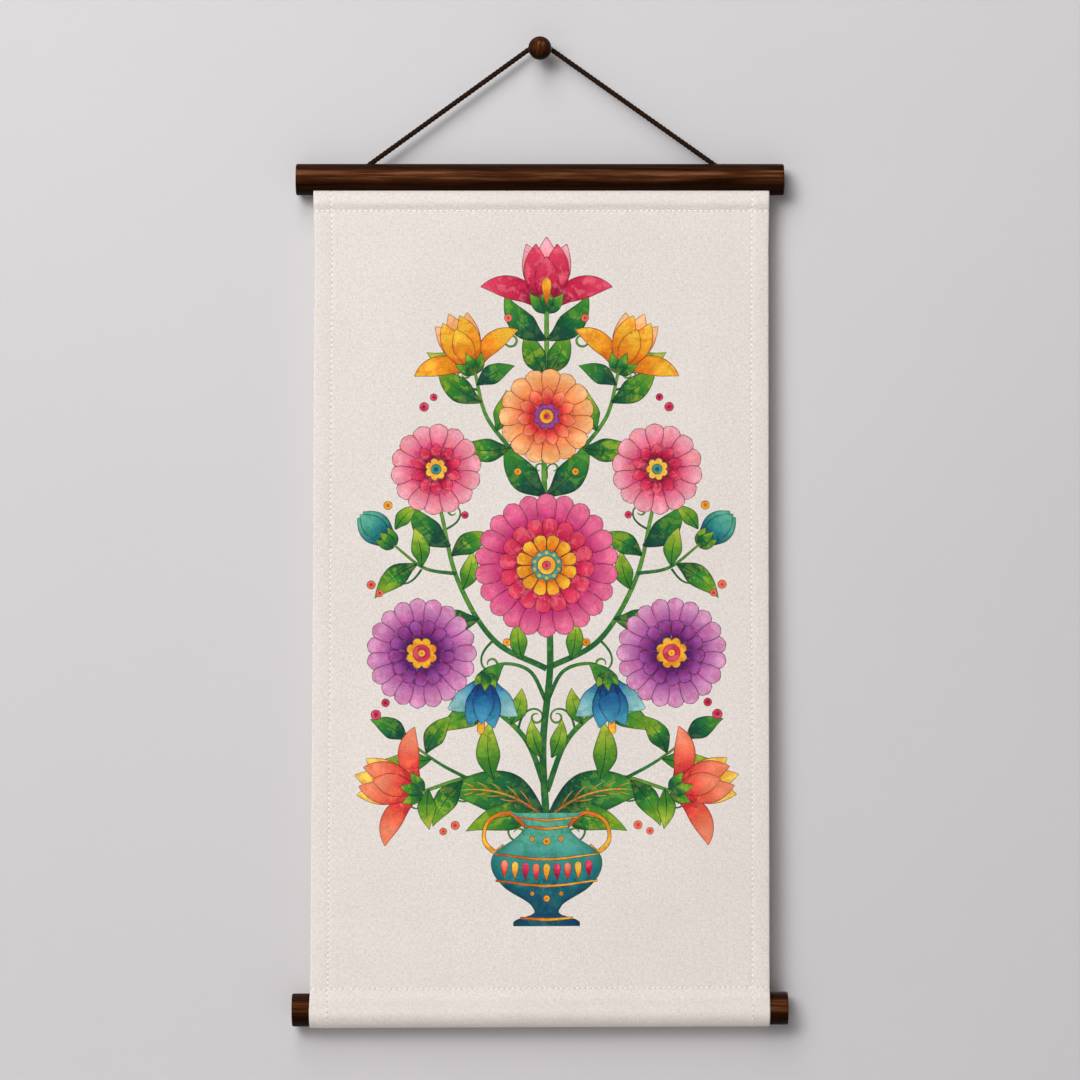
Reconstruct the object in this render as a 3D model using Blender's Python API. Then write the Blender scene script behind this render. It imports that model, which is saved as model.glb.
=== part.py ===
"""A canvas wall hanging on two wooden rods, hung by a cord from a wooden knob on the wall.

Metres, +Z up. The origin is the middle of the knob's foot, on the wall: the wall is the plane
Y = 0, and the hanging's printed side faces -Y.
"""

import math

import bmesh
import bpy

# Gap kept between two pieces that touch.
CLEARANCE = 0.0003

# The knob is turned in one piece: a foot on the wall, a thin neck and a ball.
BALL_DIAMETER = 0.0195
BALL_FROM_WALL = 0.0208
NECK_DIAMETER = 0.0050
FOOT_DIAMETER = 0.0120
FOOT_THICKNESS = 0.0025
FOOT_ROUNDING = 0.0008
NECK_FILLET = 0.0012

# Top rod: a dowel with a stopped groove for the cloth and two slanting cord holes.
TOP_ROD_DIAMETER = 0.0262
TOP_ROD_LENGTH = 0.4070
TOP_ROD_HEIGHT = -0.1091
ROD_FROM_WALL = 0.0134
ROD_END_ROUNDING = 0.0013
GROOVE_FRONT = 0.00867
GROOVE_WIDTH = 0.0024
GROOVE_DEPTH_ABOVE_LIP = 0.0083
GROOVE_SPARE_LENGTH = 0.0006

# Bottom rod: a thicker dowel in the cloth's pocket, a little lower at its left end.
BOTTOM_ROD_DIAMETER = 0.0275
BOTTOM_ROD_LENGTH = 0.4135
BOTTOM_ROD_HEIGHT = -0.8012
BOTTOM_ROD_SLOPE = 0.0040
POCKET_FROM_WALL = 0.0003

# Hanging cord, drawn tight from one slanting hole over the knob's neck to the other.
# It is too stiff to follow the thin neck, and only its crown rests on it.
CORD_DIAMETER = 0.0042
CORD_BEND_RADIUS = 1.75 * CORD_DIAMETER
CORD_LEFT_HOLE = 0.1415
CORD_RIGHT_HOLE = 0.1444
CORD_FROM_WALL_AT_KNOB = 0.0096
CORD_IN_HOLE = 0.0075
CORD_POINT_SPACING = 2.3 * CORD_DIAMETER
CORD_BEND_STEPS = 8

# Cloth: plain canvas, thicker where it is hemmed.
CLOTH_THICKNESS = 0.0010
HEM_THICKNESS = 0.0018
HEM_CROWN = 0.00035
TOP_HEM_CROWN = 0.0010
STITCH_DEPTH = 0.00025
STITCH_HALF_WIDTH = 0.0011
EDGE_ROUNDING = 0.0012
EDGE_THICKNESS_SHARE = 0.55
LEFT_HEM_WIDTH = 0.0148
RIGHT_HEM_WIDTH = 0.0143
TOP_STITCH_HEIGHT = -0.1358
POCKET_STITCH_HEIGHT = -0.7826
POCKET_SEAM = 0.0030

# Soft waves of the hanging cloth, which die out towards the two rods.
WAVE_HEIGHT = 0.0007
WAVE_ACROSS = 0.260
WAVE_DOWN = 0.420
WAVE_TURN = 0.9
WAVE_DIES_OUT = 0.060

# The cloth's side edges, down its height.
# height, left edge, right edge
SIDE_EDGES = (
    (-0.1100, -0.1884, 0.1909),
    (-0.1210, -0.1889, 0.1912),
    (-0.1670, -0.1877, 0.1904),
    (-0.2610, -0.1884, 0.1904),
    (-0.3300, -0.1888, 0.1905),
    (-0.4300, -0.1890, 0.1905),
    (-0.5500, -0.1897, 0.1907),
    (-0.6900, -0.1906, 0.1909),
    (-0.7826, -0.1912, 0.1909),
    (-0.8012, -0.1922, 0.1915),
    (-0.8170, -0.1920, 0.1913),
)

ROD_SIDES = 40
KNOB_SIDES = 32
CORD_HOLE_SIDES = 20
PLAIN_COLUMNS = 12
PLAIN_ROWS = 22
POCKET_STEPS = 30
POCKET_FRONT_STEPS = 3
TOP_HEM_ROWS = (0.22, 0.45, 0.68)

MATERIALS = {
    # name: colour, roughness, metallic
    "walnut": ((0.085, 0.036, 0.018, 1.0), 0.42, 0.0),
    "canvas": ((0.80, 0.75, 0.68, 1.0), 0.92, 0.0),
    "dark_cord": ((0.055, 0.028, 0.018, 1.0), 0.80, 0.0),
}


def clear_scene():
    for obj in list(bpy.data.objects):
        bpy.data.objects.remove(obj)


def material(name):
    """The named finish, made once."""
    found = bpy.data.materials.get(name)
    if found:
        return found
    colour, roughness, metallic = MATERIALS[name]
    made = bpy.data.materials.new(name)
    made.use_nodes = True
    made.diffuse_color = colour
    shader = made.node_tree.nodes["Principled BSDF"]
    shader.inputs["Base Color"].default_value = colour
    shader.inputs["Roughness"].default_value = roughness
    shader.inputs["Metallic"].default_value = metallic
    return made


def add_object(name, data, finish, location=(0.0, 0.0, 0.0), rotation=(0.0, 0.0, 0.0)):
    obj = bpy.data.objects.new(name, data)
    bpy.context.scene.collection.objects.link(obj)
    obj.location = location
    obj.rotation_euler = rotation
    if finish:
        data.materials.append(material(finish))
    return obj


def mesh_from_bmesh(name, bm, smooth_angle=math.radians(35)):
    bmesh.ops.recalc_face_normals(bm, faces=bm.faces)
    mesh = bpy.data.meshes.new(name)
    bm.to_mesh(mesh)
    bm.free()
    mesh.shade_smooth()
    mesh.set_sharp_from_angle(angle=smooth_angle)
    return mesh


def turned(name, profile, sides):
    """A closed shape turned about local Z. Its (radius, height) points start and end on the axis."""
    bm = bmesh.new()
    rings = []
    for radius, height in profile:
        if radius == 0.0:
            rings.append([bm.verts.new((0.0, 0.0, height))])
            continue
        angles = [2.0 * math.pi * i / sides for i in range(sides)]
        ring = [bm.verts.new((radius * math.cos(a), radius * math.sin(a), height)) for a in angles]
        rings.append(ring)
    for upper, lower in zip(rings, rings[1:]):
        for i in range(sides):
            corners = [upper[i % len(upper)], upper[(i + 1) % len(upper)]]
            corners += [lower[(i + 1) % len(lower)], lower[i % len(lower)]]
            bm.faces.new(list(dict.fromkeys(corners)))
    return mesh_from_bmesh(name, bm)


def dowel_profile(radius, length, rounding, steps=3):
    """Half outline of a rod with rounded end edges, from its lower end to its upper one."""
    end = [(0.0, -length / 2)]
    for i in range(steps + 1):
        angle = 0.5 * math.pi * i / steps
        inner = radius - rounding
        end.append((inner + rounding * math.sin(angle), -length / 2 + rounding * (1 - math.cos(angle))))
    return end + [(r, -h) for r, h in reversed(end)]


def box_mesh(name, low, high):
    bm = bmesh.new()
    bmesh.ops.create_cube(bm, size=1.0)
    for vert in bm.verts:
        for axis in range(3):
            middle = (low[axis] + high[axis]) / 2
            vert.co[axis] = middle + vert.co[axis] * (high[axis] - low[axis])
    return mesh_from_bmesh(name, bm)


def cut(obj, cutter):
    """Subtracts a cutter, which stays in the file as a hidden wire guide."""
    cutter.hide_render = True
    cutter.display_type = "WIRE"
    modifier = obj.modifiers.new("cut " + cutter.name, "BOOLEAN")
    modifier.operation = "DIFFERENCE"
    modifier.solver = "EXACT"
    modifier.object = cutter


def side_edge(height, side):
    """X of the cloth's left (1) or right (2) edge at a height."""
    rows = SIDE_EDGES
    if height >= rows[0][0]:
        return rows[0][side]
    for upper, lower in zip(rows, rows[1:]):
        if height >= lower[0]:
            share = (upper[0] - height) / (upper[0] - lower[0])
            return upper[side] + share * (lower[side] - upper[side])
    return rows[-1][side]


def smooth_step(value):
    value = min(1.0, max(0.0, value))
    return value * value * (3.0 - 2.0 * value)


# Knob

def arc(centre, radius, first, last, steps):
    """Points of an arc in the (radius, height) plane, angles in degrees from the radius axis."""
    points = []
    for i in range(steps + 1):
        angle = math.radians(first + (last - first) * i / steps)
        points.append((centre[0] + radius * math.cos(angle), centre[1] + radius * math.sin(angle)))
    return points


def build_wall_knob():
    """Foot, neck and ball as one turned profile. Local +Z points out of the wall."""
    foot = FOOT_DIAMETER / 2
    neck = NECK_DIAMETER / 2
    ball = BALL_DIAMETER / 2
    neck_angle = math.degrees(math.acos(neck / ball))
    profile = [(0.0, 0.0)]
    profile += arc((foot - FOOT_ROUNDING / 2, FOOT_ROUNDING / 2), FOOT_ROUNDING / 2, -90, 0, 2)
    profile += arc((foot - FOOT_ROUNDING, FOOT_THICKNESS - FOOT_ROUNDING), FOOT_ROUNDING, 0, 90, 3)
    profile += arc((neck + NECK_FILLET, FOOT_THICKNESS + NECK_FILLET), NECK_FILLET, 270, 180, 3)
    profile += arc((0.0, BALL_FROM_WALL), ball, -neck_angle, 90, KNOB_SIDES // 2 - 2)[:-1]
    profile.append((0.0, BALL_FROM_WALL + ball))
    mesh = turned("wall_knob", profile, KNOB_SIDES)
    return add_object("wall_knob", mesh, "walnut", rotation=(math.pi / 2, 0.0, 0.0))


# Cord

def cord_bend_centre():
    """Height of the centre of the cord's bend, whose crown lies on the neck."""
    return NECK_DIAMETER / 2 + CLEARANCE + CORD_DIAMETER / 2 - CORD_BEND_RADIUS


def cord_slope(spread):
    """Angle below level of a straight leg, from the bend to a hole this far off the middle."""
    drop = cord_bend_centre() - TOP_ROD_HEIGHT - TOP_ROD_DIAMETER / 2
    reach = math.hypot(spread, drop)
    return math.atan2(drop, spread) + math.asin(CORD_BEND_RADIUS / reach)


def cord_leg(spread):
    """Centreline of one leg as (distance off the middle, y, z), from the bend into its hole."""
    slope = cord_slope(spread)
    leaves_x = CORD_BEND_RADIUS * math.sin(slope)
    leaves_z = cord_bend_centre() + CORD_BEND_RADIUS * math.cos(slope)
    mouth_z = TOP_ROD_HEIGHT + TOP_ROD_DIAMETER / 2
    free = (leaves_z - mouth_z) / math.sin(slope)
    length = free + CORD_IN_HOLE
    pieces = round(length / CORD_POINT_SPACING)
    leg = []
    for i in range(1, pieces + 1):
        along = length * i / pieces
        out = (ROD_FROM_WALL - CORD_FROM_WALL_AT_KNOB) * min(1.0, along / free)
        leg.append((
            leaves_x + along * math.cos(slope),
            -CORD_FROM_WALL_AT_KNOB - out,
            leaves_z - along * math.sin(slope),
        ))
    return leg


def cord_points():
    """Centreline of the cord, left end first."""
    first = -cord_slope(CORD_LEFT_HOLE)
    last = cord_slope(CORD_RIGHT_HOLE)
    bend = []
    for i in range(CORD_BEND_STEPS + 1):
        angle = first + (last - first) * i / CORD_BEND_STEPS
        height = cord_bend_centre() + CORD_BEND_RADIUS * math.cos(angle)
        bend.append((CORD_BEND_RADIUS * math.sin(angle), -CORD_FROM_WALL_AT_KNOB, height))
    left = [(-x, y, z) for x, y, z in reversed(cord_leg(CORD_LEFT_HOLE))]
    return left + bend + cord_leg(CORD_RIGHT_HOLE)


def build_cord():
    curve = bpy.data.curves.new("hanging_cord", "CURVE")
    curve.dimensions = "3D"
    curve.bevel_depth = CORD_DIAMETER / 2
    curve.bevel_resolution = 2
    curve.use_fill_caps = True
    points = cord_points()
    spline = curve.splines.new("POLY")
    spline.points.add(len(points) - 1)
    for point, place in zip(spline.points, points):
        point.co = (*place, 1.0)
    return add_object("hanging_cord", curve, "dark_cord")


# Rods

def build_top_rod():
    """Dowel along X with the cloth's groove sawn up into its lower front and two cord holes."""
    radius = TOP_ROD_DIAMETER / 2
    profile = dowel_profile(radius, TOP_ROD_LENGTH, ROD_END_ROUNDING)
    mesh = turned("top_rod", profile, ROD_SIDES)
    rod = add_object(
        "top_rod", mesh, "walnut",
        location=(0.0, -ROD_FROM_WALL, TOP_ROD_HEIGHT),
        rotation=(0.0, math.pi / 2, 0.0),
    )
    front = -ROD_FROM_WALL - GROOVE_FRONT
    left = side_edge(TOP_ROD_HEIGHT, 1) - GROOVE_SPARE_LENGTH
    right = side_edge(TOP_ROD_HEIGHT, 2) + GROOVE_SPARE_LENGTH
    groove = box_mesh(
        "groove_cutter",
        (left, front, TOP_ROD_HEIGHT - TOP_ROD_DIAMETER),
        (right, front + GROOVE_WIDTH, lip_height() + GROOVE_DEPTH_ABOVE_LIP),
    )
    cut(rod, add_object("groove_cutter", groove, None))
    hole_radius = CORD_DIAMETER / 2 + CLEARANCE
    depth = CORD_IN_HOLE + CLEARANCE
    bore = [(0.0, -depth), (hole_radius, -depth), (hole_radius, depth), (0.0, depth)]
    for name, side, spread in (
        ("left_cord_hole", -1, CORD_LEFT_HOLE), ("right_cord_hole", 1, CORD_RIGHT_HOLE),
    ):
        hole = add_object(
            name, turned(name, bore, CORD_HOLE_SIDES), None,
            location=(side * spread, -ROD_FROM_WALL, TOP_ROD_HEIGHT + radius),
            rotation=(0.0, -side * (math.pi / 2 - cord_slope(spread)), 0.0),
        )
        cut(rod, hole)
    return rod


def bottom_rod_from_wall():
    return POCKET_FROM_WALL + CLOTH_THICKNESS + CLEARANCE + BOTTOM_ROD_DIAMETER / 2


def build_bottom_rod():
    profile = dowel_profile(BOTTOM_ROD_DIAMETER / 2, BOTTOM_ROD_LENGTH, ROD_END_ROUNDING)
    mesh = turned("bottom_rod", profile, ROD_SIDES)
    return add_object(
        "bottom_rod", mesh, "walnut",
        location=(0.0, -bottom_rod_from_wall(), BOTTOM_ROD_HEIGHT),
        rotation=(0.0, math.pi / 2 - math.atan(BOTTOM_ROD_SLOPE), 0.0),
    )


# Cloth

def lip_height():
    """Z of the rod's surface where the cloth leaves the groove."""
    return TOP_ROD_HEIGHT - math.sqrt((TOP_ROD_DIAMETER / 2) ** 2 - GROOVE_FRONT**2)


def sheet_depth(height):
    """Y of the cloth's middle layer: upright in the groove, then straight down to the pocket."""
    top = -ROD_FROM_WALL - GROOVE_FRONT + CLEARANCE + CLOTH_THICKNESS / 2
    bottom = -bottom_rod_from_wall() - BOTTOM_ROD_DIAMETER / 2 - CLEARANCE - CLOTH_THICKNESS / 2
    share = (lip_height() - height) / (lip_height() - BOTTOM_ROD_HEIGHT)
    return top + min(1.0, max(0.0, share)) * (bottom - top)


def wave(x, height):
    """Forward swell of the cloth, none where it is held at the groove and at the pocket."""
    held = smooth_step((TOP_STITCH_HEIGHT - height) / WAVE_DIES_OUT)
    held *= smooth_step((height - POCKET_STITCH_HEIGHT) / WAVE_DIES_OUT)
    across = math.sin(2.0 * math.pi * x / WAVE_ACROSS + WAVE_TURN)
    down = math.cos(2.0 * math.pi * height / WAVE_DOWN)
    return -WAVE_HEIGHT * held * across * down


def hem_share(x, height):
    """1 on a side hem, 0 on the plain cloth, soft across the stitch line."""
    from_left = x - side_edge(height, 1)
    from_right = side_edge(height, 2) - x
    inside = max(LEFT_HEM_WIDTH - from_left, RIGHT_HEM_WIDTH - from_right)
    return smooth_step(0.5 + inside / (2.0 * STITCH_HALF_WIDTH))


def front_relief(x, height):
    """How far the front stands out from the flat: crowned hems, and stitch lines drawn in."""
    if height >= lip_height():
        return 0.0
    from_left = x - side_edge(height, 1)
    from_right = side_edge(height, 2) - x
    relief = 0.0
    for distance, width in ((from_left, LEFT_HEM_WIDTH), (from_right, RIGHT_HEM_WIDTH)):
        if 0.0 < distance < width:
            relief += HEM_CROWN * math.sin(math.pi * distance / width)
        relief -= STITCH_DEPTH * max(0.0, 1.0 - abs(distance - width) / STITCH_HALF_WIDTH)
    for line in (TOP_STITCH_HEIGHT, POCKET_STITCH_HEIGHT):
        relief -= STITCH_DEPTH * max(0.0, 1.0 - abs(height - line) / STITCH_HALF_WIDTH)
    below_lip = (lip_height() - height) / (lip_height() - TOP_STITCH_HEIGHT)
    if below_lip < 1.0:
        relief += TOP_HEM_CROWN * math.sin(math.pi * below_lip) ** 2
    return relief


def back_half_thickness(x, height):
    """Half thickness behind the middle layer: the hems' turned layers lie at the back."""
    hemmed = max(hem_share(x, height), smooth_step((height - TOP_STITCH_HEIGHT) / STITCH_HALF_WIDTH))
    return CLOTH_THICKNESS / 2 + hemmed * (HEM_THICKNESS - CLOTH_THICKNESS)


def sheet_heights():
    """Rows down the sheet, closer at the hems and stitch lines."""
    lip = lip_height()
    top = lip + GROOVE_DEPTH_ABOVE_LIP - CLEARANCE
    around = (STITCH_HALF_WIDTH, 0.0, -STITCH_HALF_WIDTH)
    heights = [top, lip]
    heights += [lip + (TOP_STITCH_HEIGHT - lip) * share for share in TOP_HEM_ROWS]
    heights += [TOP_STITCH_HEIGHT + step for step in around]
    first = TOP_STITCH_HEIGHT - STITCH_HALF_WIDTH
    last = POCKET_STITCH_HEIGHT + STITCH_HALF_WIDTH
    heights += [first + (last - first) * i / PLAIN_ROWS for i in range(1, PLAIN_ROWS)]
    heights += [POCKET_STITCH_HEIGHT + step for step in around[:2]]
    return heights


def cloth_columns(height):
    """X stations across the cloth at a height, closer at the hems."""
    left = side_edge(height, 1)
    right = side_edge(height, 2)
    hem_left = [0.0, EDGE_ROUNDING, LEFT_HEM_WIDTH * 0.5, LEFT_HEM_WIDTH - STITCH_HALF_WIDTH]
    hem_left += [LEFT_HEM_WIDTH, LEFT_HEM_WIDTH + STITCH_HALF_WIDTH]
    hem_right = [0.0, EDGE_ROUNDING, RIGHT_HEM_WIDTH * 0.5, RIGHT_HEM_WIDTH - STITCH_HALF_WIDTH]
    hem_right += [RIGHT_HEM_WIDTH, RIGHT_HEM_WIDTH + STITCH_HALF_WIDTH]
    first = left + hem_left[-1]
    last = right - hem_right[-1]
    plain = [first + (last - first) * i / PLAIN_COLUMNS for i in range(1, PLAIN_COLUMNS)]
    return [left + d for d in hem_left] + plain + [right - d for d in reversed(hem_right)]


def edge_thinning(column, columns):
    """The outermost column is thinner, so that the cloth's cut edge reads as a rounded fold."""
    return EDGE_THICKNESS_SHARE if column in (0, columns - 1) else 1.0


def slope_lift(x, height):
    """The bottom rod's slope, shared out up the cloth."""
    share = (TOP_STITCH_HEIGHT - height) / (TOP_STITCH_HEIGHT - POCKET_STITCH_HEIGHT)
    return x * BOTTOM_ROD_SLOPE * min(1.0, max(0.0, share))


def pocket_outline():
    """The pocket round the bottom rod, from the front of its stitch line to its seam at the back.

    Each row is (outer y, outer z, inner y, inner z). The front layer hangs straight to the rod's
    front, the back layer leaves the rod's top and closes on the sheet's back at the stitch line.
    """
    centre_y = -bottom_rod_from_wall()
    inner = BOTTOM_ROD_DIAMETER / 2 + CLEARANCE
    outer = inner + CLOTH_THICKNESS
    middle = (inner + outer) / 2
    seam_y = centre_y - inner + CLOTH_THICKNESS / 2
    seam_z = POCKET_STITCH_HEIGHT - POCKET_SEAM
    dy = seam_y - centre_y
    dz = seam_z - BOTTOM_ROD_HEIGHT
    seam_angle = math.atan2(dz, dy)
    leave = seam_angle - math.acos(middle / math.hypot(dy, dz))
    rows = []
    for i in range(1, POCKET_FRONT_STEPS):
        share = i / POCKET_FRONT_STEPS
        z = POCKET_STITCH_HEIGHT + (BOTTOM_ROD_HEIGHT - POCKET_STITCH_HEIGHT) * share
        rows.append((centre_y - outer, z, centre_y - inner, min(z, seam_z)))
    start = math.pi
    end = 2.0 * math.pi + leave
    for i in range(POCKET_STEPS + 1):
        angle = start + (end - start) * i / POCKET_STEPS
        cos, sin = math.cos(angle), math.sin(angle)
        rows.append((
            centre_y + outer * cos, BOTTOM_ROD_HEIGHT + outer * sin,
            centre_y + inner * cos, BOTTOM_ROD_HEIGHT + inner * sin,
        ))
    return rows, (seam_y, seam_z)


def cloth_section(column, columns):
    """Outer loop and inner loop of the cloth's upright section at one column, as world points."""
    heights = sheet_heights()
    front, back = [], []
    for height in heights:
        x = cloth_columns(height)[column]
        middle = sheet_depth(height) + wave(x, height)
        thin = edge_thinning(column, columns)
        z = height + slope_lift(x, height)
        front.append((x, middle - thin * (CLOTH_THICKNESS / 2 + front_relief(x, height)), z))
        back.append((x, middle + thin * back_half_thickness(x, height), z))
    outline, (seam_y, seam_z) = pocket_outline()
    outer, inner = [], []
    for outer_y, outer_z, inner_y, inner_z in outline:
        x_outer = cloth_columns(outer_z)[column]
        outer.append((x_outer, outer_y, outer_z + x_outer * BOTTOM_ROD_SLOPE))
        inner.append((x_outer, inner_y, inner_z + x_outer * BOTTOM_ROD_SLOPE))
    x = cloth_columns(seam_z)[column]
    apex = (x, seam_y, seam_z + x * BOTTOM_ROD_SLOPE)
    return front, outer, back, apex, inner


def build_cloth():
    """The cloth with its hems and rod pocket, one closed body lofted from column to column."""
    columns = len(cloth_columns(TOP_STITCH_HEIGHT))
    bm = bmesh.new()
    outer_loops, inner_loops, parts = [], [], []
    for column in range(columns):
        front, outer, back, apex, inner = cloth_section(column, columns)
        front = [bm.verts.new(p) for p in front]
        outer = [bm.verts.new(p) for p in outer]
        back = [bm.verts.new(p) for p in back]
        apex = bm.verts.new(apex)
        inner = [bm.verts.new(p) for p in inner]
        outer_loops.append(front + outer + back[::-1])
        inner_loops.append([apex] + inner)
        parts.append((front, outer, back, apex, inner))
    for loops in (outer_loops, inner_loops):
        for left, right in zip(loops, loops[1:]):
            count = len(left)
            for i in range(count):
                j = (i + 1) % count
                bm.faces.new((left[i], left[j], right[j], right[i]))
    for front, outer, back, apex, inner in (parts[0], parts[-1]):
        for i in range(len(front) - 1):
            bm.faces.new((front[i], front[i + 1], back[i + 1], back[i]))
        outer_ring = [front[-1]] + outer + [back[-1]]
        inner_ring = [apex] + inner + [apex]
        for i in range(len(outer_ring) - 1):
            corners = (outer_ring[i], outer_ring[i + 1], inner_ring[i + 1], inner_ring[i])
            bm.faces.new(list(dict.fromkeys(corners)))
        bm.faces.new((front[-1], back[-1], apex))
    return add_object("cloth", mesh_from_bmesh("cloth", bm), "canvas")


def main():
    clear_scene()
    build_wall_knob()
    build_cord()
    build_top_rod()
    build_bottom_rod()
    build_cloth()


if __name__ == "__main__":
    main()
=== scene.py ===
"""Looks of a canvas wall hanging: a water-colour like print on off-white canvas, two stained
rods, a twisted cord and a turned wall knob.

Lengths are metres in the frame's axes: +Z is up, the print faces -Y, and the wall is the plane
Y = 0. The print's own plan is in millimetres on the flat cloth.
"""

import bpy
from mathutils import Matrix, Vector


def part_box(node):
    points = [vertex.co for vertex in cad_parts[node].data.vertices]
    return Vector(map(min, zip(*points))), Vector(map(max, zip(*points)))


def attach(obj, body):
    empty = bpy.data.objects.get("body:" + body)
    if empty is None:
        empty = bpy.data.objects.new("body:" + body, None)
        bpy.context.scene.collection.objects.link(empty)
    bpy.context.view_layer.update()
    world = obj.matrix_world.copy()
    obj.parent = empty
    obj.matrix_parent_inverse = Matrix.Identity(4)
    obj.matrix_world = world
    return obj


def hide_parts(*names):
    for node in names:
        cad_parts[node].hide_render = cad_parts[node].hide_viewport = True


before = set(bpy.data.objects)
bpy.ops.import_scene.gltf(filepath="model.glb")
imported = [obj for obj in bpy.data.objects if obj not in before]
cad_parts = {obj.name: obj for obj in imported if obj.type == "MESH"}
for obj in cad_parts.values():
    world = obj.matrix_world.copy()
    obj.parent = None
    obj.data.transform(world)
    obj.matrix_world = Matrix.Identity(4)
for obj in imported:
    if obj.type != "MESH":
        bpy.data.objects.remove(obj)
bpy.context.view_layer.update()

import copy
import math

import bmesh
import bpy
import numpy as np
from mathutils import Vector
from mathutils.geometry import delaunay_2d_cdt

bl_info = {
    "name": "Cloth Wall Hanging",
    "version": (1, 0, 0),
    "blender": (4, 5, 0),
    "location": "3D View > Sidebar > Hanging",
    "description": "Dresses a canvas wall hanging with its print, hems, rods, cord and knob",
    "category": "Add Mesh",
}

BODY = "root"
MM = 0.001

# What every colour property has in common.
COLOUR = {"subtype": "COLOR", "min": 0.0, "max": 1.0}

# Gap that the pieces keep where they touch.
CLEARANCE = 0.0003

# Places and sizes that the frame gives.
TOP_ROD_LOW, TOP_ROD_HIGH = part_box("top_rod")
BOTTOM_ROD_LOW, BOTTOM_ROD_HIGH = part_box("bottom_rod")

TOP_ROD_RADIUS = (TOP_ROD_HIGH.z - TOP_ROD_LOW.z) / 2
TOP_ROD_LENGTH = TOP_ROD_HIGH.x - TOP_ROD_LOW.x
TOP_ROD_CENTRE = (TOP_ROD_LOW + TOP_ROD_HIGH) / 2
BOTTOM_ROD_RADIUS = (BOTTOM_ROD_HIGH.y - BOTTOM_ROD_LOW.y) / 2
BOTTOM_ROD_CENTRE = (BOTTOM_ROD_LOW + BOTTOM_ROD_HIGH) / 2

# Construction that the frame's boxes don't tell, as the solids have it.
BALL_RADIUS = 0.00975
BALL_FROM_WALL = 0.0208
BOTTOM_ROD_SLOPE = 0.0040
BOTTOM_ROD_LENGTH = 0.4135
ROD_END_ROUNDING = 0.0013
GROOVE_FRONT = 0.00867
GROOVE_WIDTH = 0.0024
GROOVE_DEPTH_ABOVE_LIP = 0.0083
GROOVE_SPARE_LENGTH = 0.0006
CORD_LEFT_HOLE = 0.1415
CORD_RIGHT_HOLE = 0.1444
CORD_FROM_WALL_AT_KNOB = 0.0096
CORD_IN_HOLE = 0.0075
NECK_RADIUS = 0.0025
FOOT_RADIUS = 0.0060
FOOT_THICKNESS = 0.0025
FOOT_ROUNDING = 0.0008
NECK_FILLET = 0.0012
LIP_HEIGHT = TOP_ROD_CENTRE.z - math.sqrt(TOP_ROD_RADIUS**2 - GROOVE_FRONT**2)


# Shader nodes

class Socket:
    """An output socket, on which arithmetic adds Math or Vector Math nodes."""

    def __init__(self, nodes, out):
        self.nodes = nodes
        self.out = out

    def maths(self, operation, *values):
        vector = any(isinstance(v, Socket) and v.out.type == "VECTOR" for v in values)
        kind = "ShaderNodeVectorMath" if vector else "ShaderNodeMath"
        return self.nodes.add(kind, {"operation": operation}, dict(enumerate(values)))

    def __add__(self, other):
        return self.maths("ADD", self, other)

    def __sub__(self, other):
        return self.maths("SUBTRACT", self, other)

    def __rsub__(self, other):
        return self.maths("SUBTRACT", other, self)

    def __mul__(self, other):
        return self.maths("MULTIPLY", self, other)

    def __truediv__(self, other):
        return self.maths("DIVIDE", self, other)

    def __rtruediv__(self, other):
        return self.maths("DIVIDE", other, self)

    def __pow__(self, other):
        return self.maths("POWER", self, other)

    def __neg__(self):
        return self.maths("MULTIPLY", self, -1.0)

    __radd__ = __add__
    __rmul__ = __mul__

    def absolute(self):
        return self.maths("ABSOLUTE", self)

    def sine(self):
        return self.maths("SINE", self)

    def floor(self):
        return self.maths("FLOOR", self)

    def fraction(self):
        return self.maths("FRACT", self)

    def step(self, low, high, out_low=0.0, out_high=1.0):
        """Smooth change from out_low to out_high as the value goes from low to high."""
        settings = {"interpolation_type": "SMOOTHSTEP"}
        values = {"Value": self, "From Min": low, "From Max": high}
        values.update({"To Min": out_low, "To Max": out_high})
        return self.nodes.add("ShaderNodeMapRange", settings, values)

    def part(self, axis):
        """One of a vector's X, Y and Z."""
        return self.nodes.add("ShaderNodeSeparateXYZ", {}, {0: self}, out=axis)


def feed(tree, node, values):
    """Links sockets to a node's inputs and sets its other inputs."""
    for key, value in dict(values).items():
        value = value.out if isinstance(value, Socket) else value
        if isinstance(value, bpy.types.NodeSocket):
            tree.links.new(value, node.inputs[key])
        else:
            node.inputs[key].default_value = value


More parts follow.
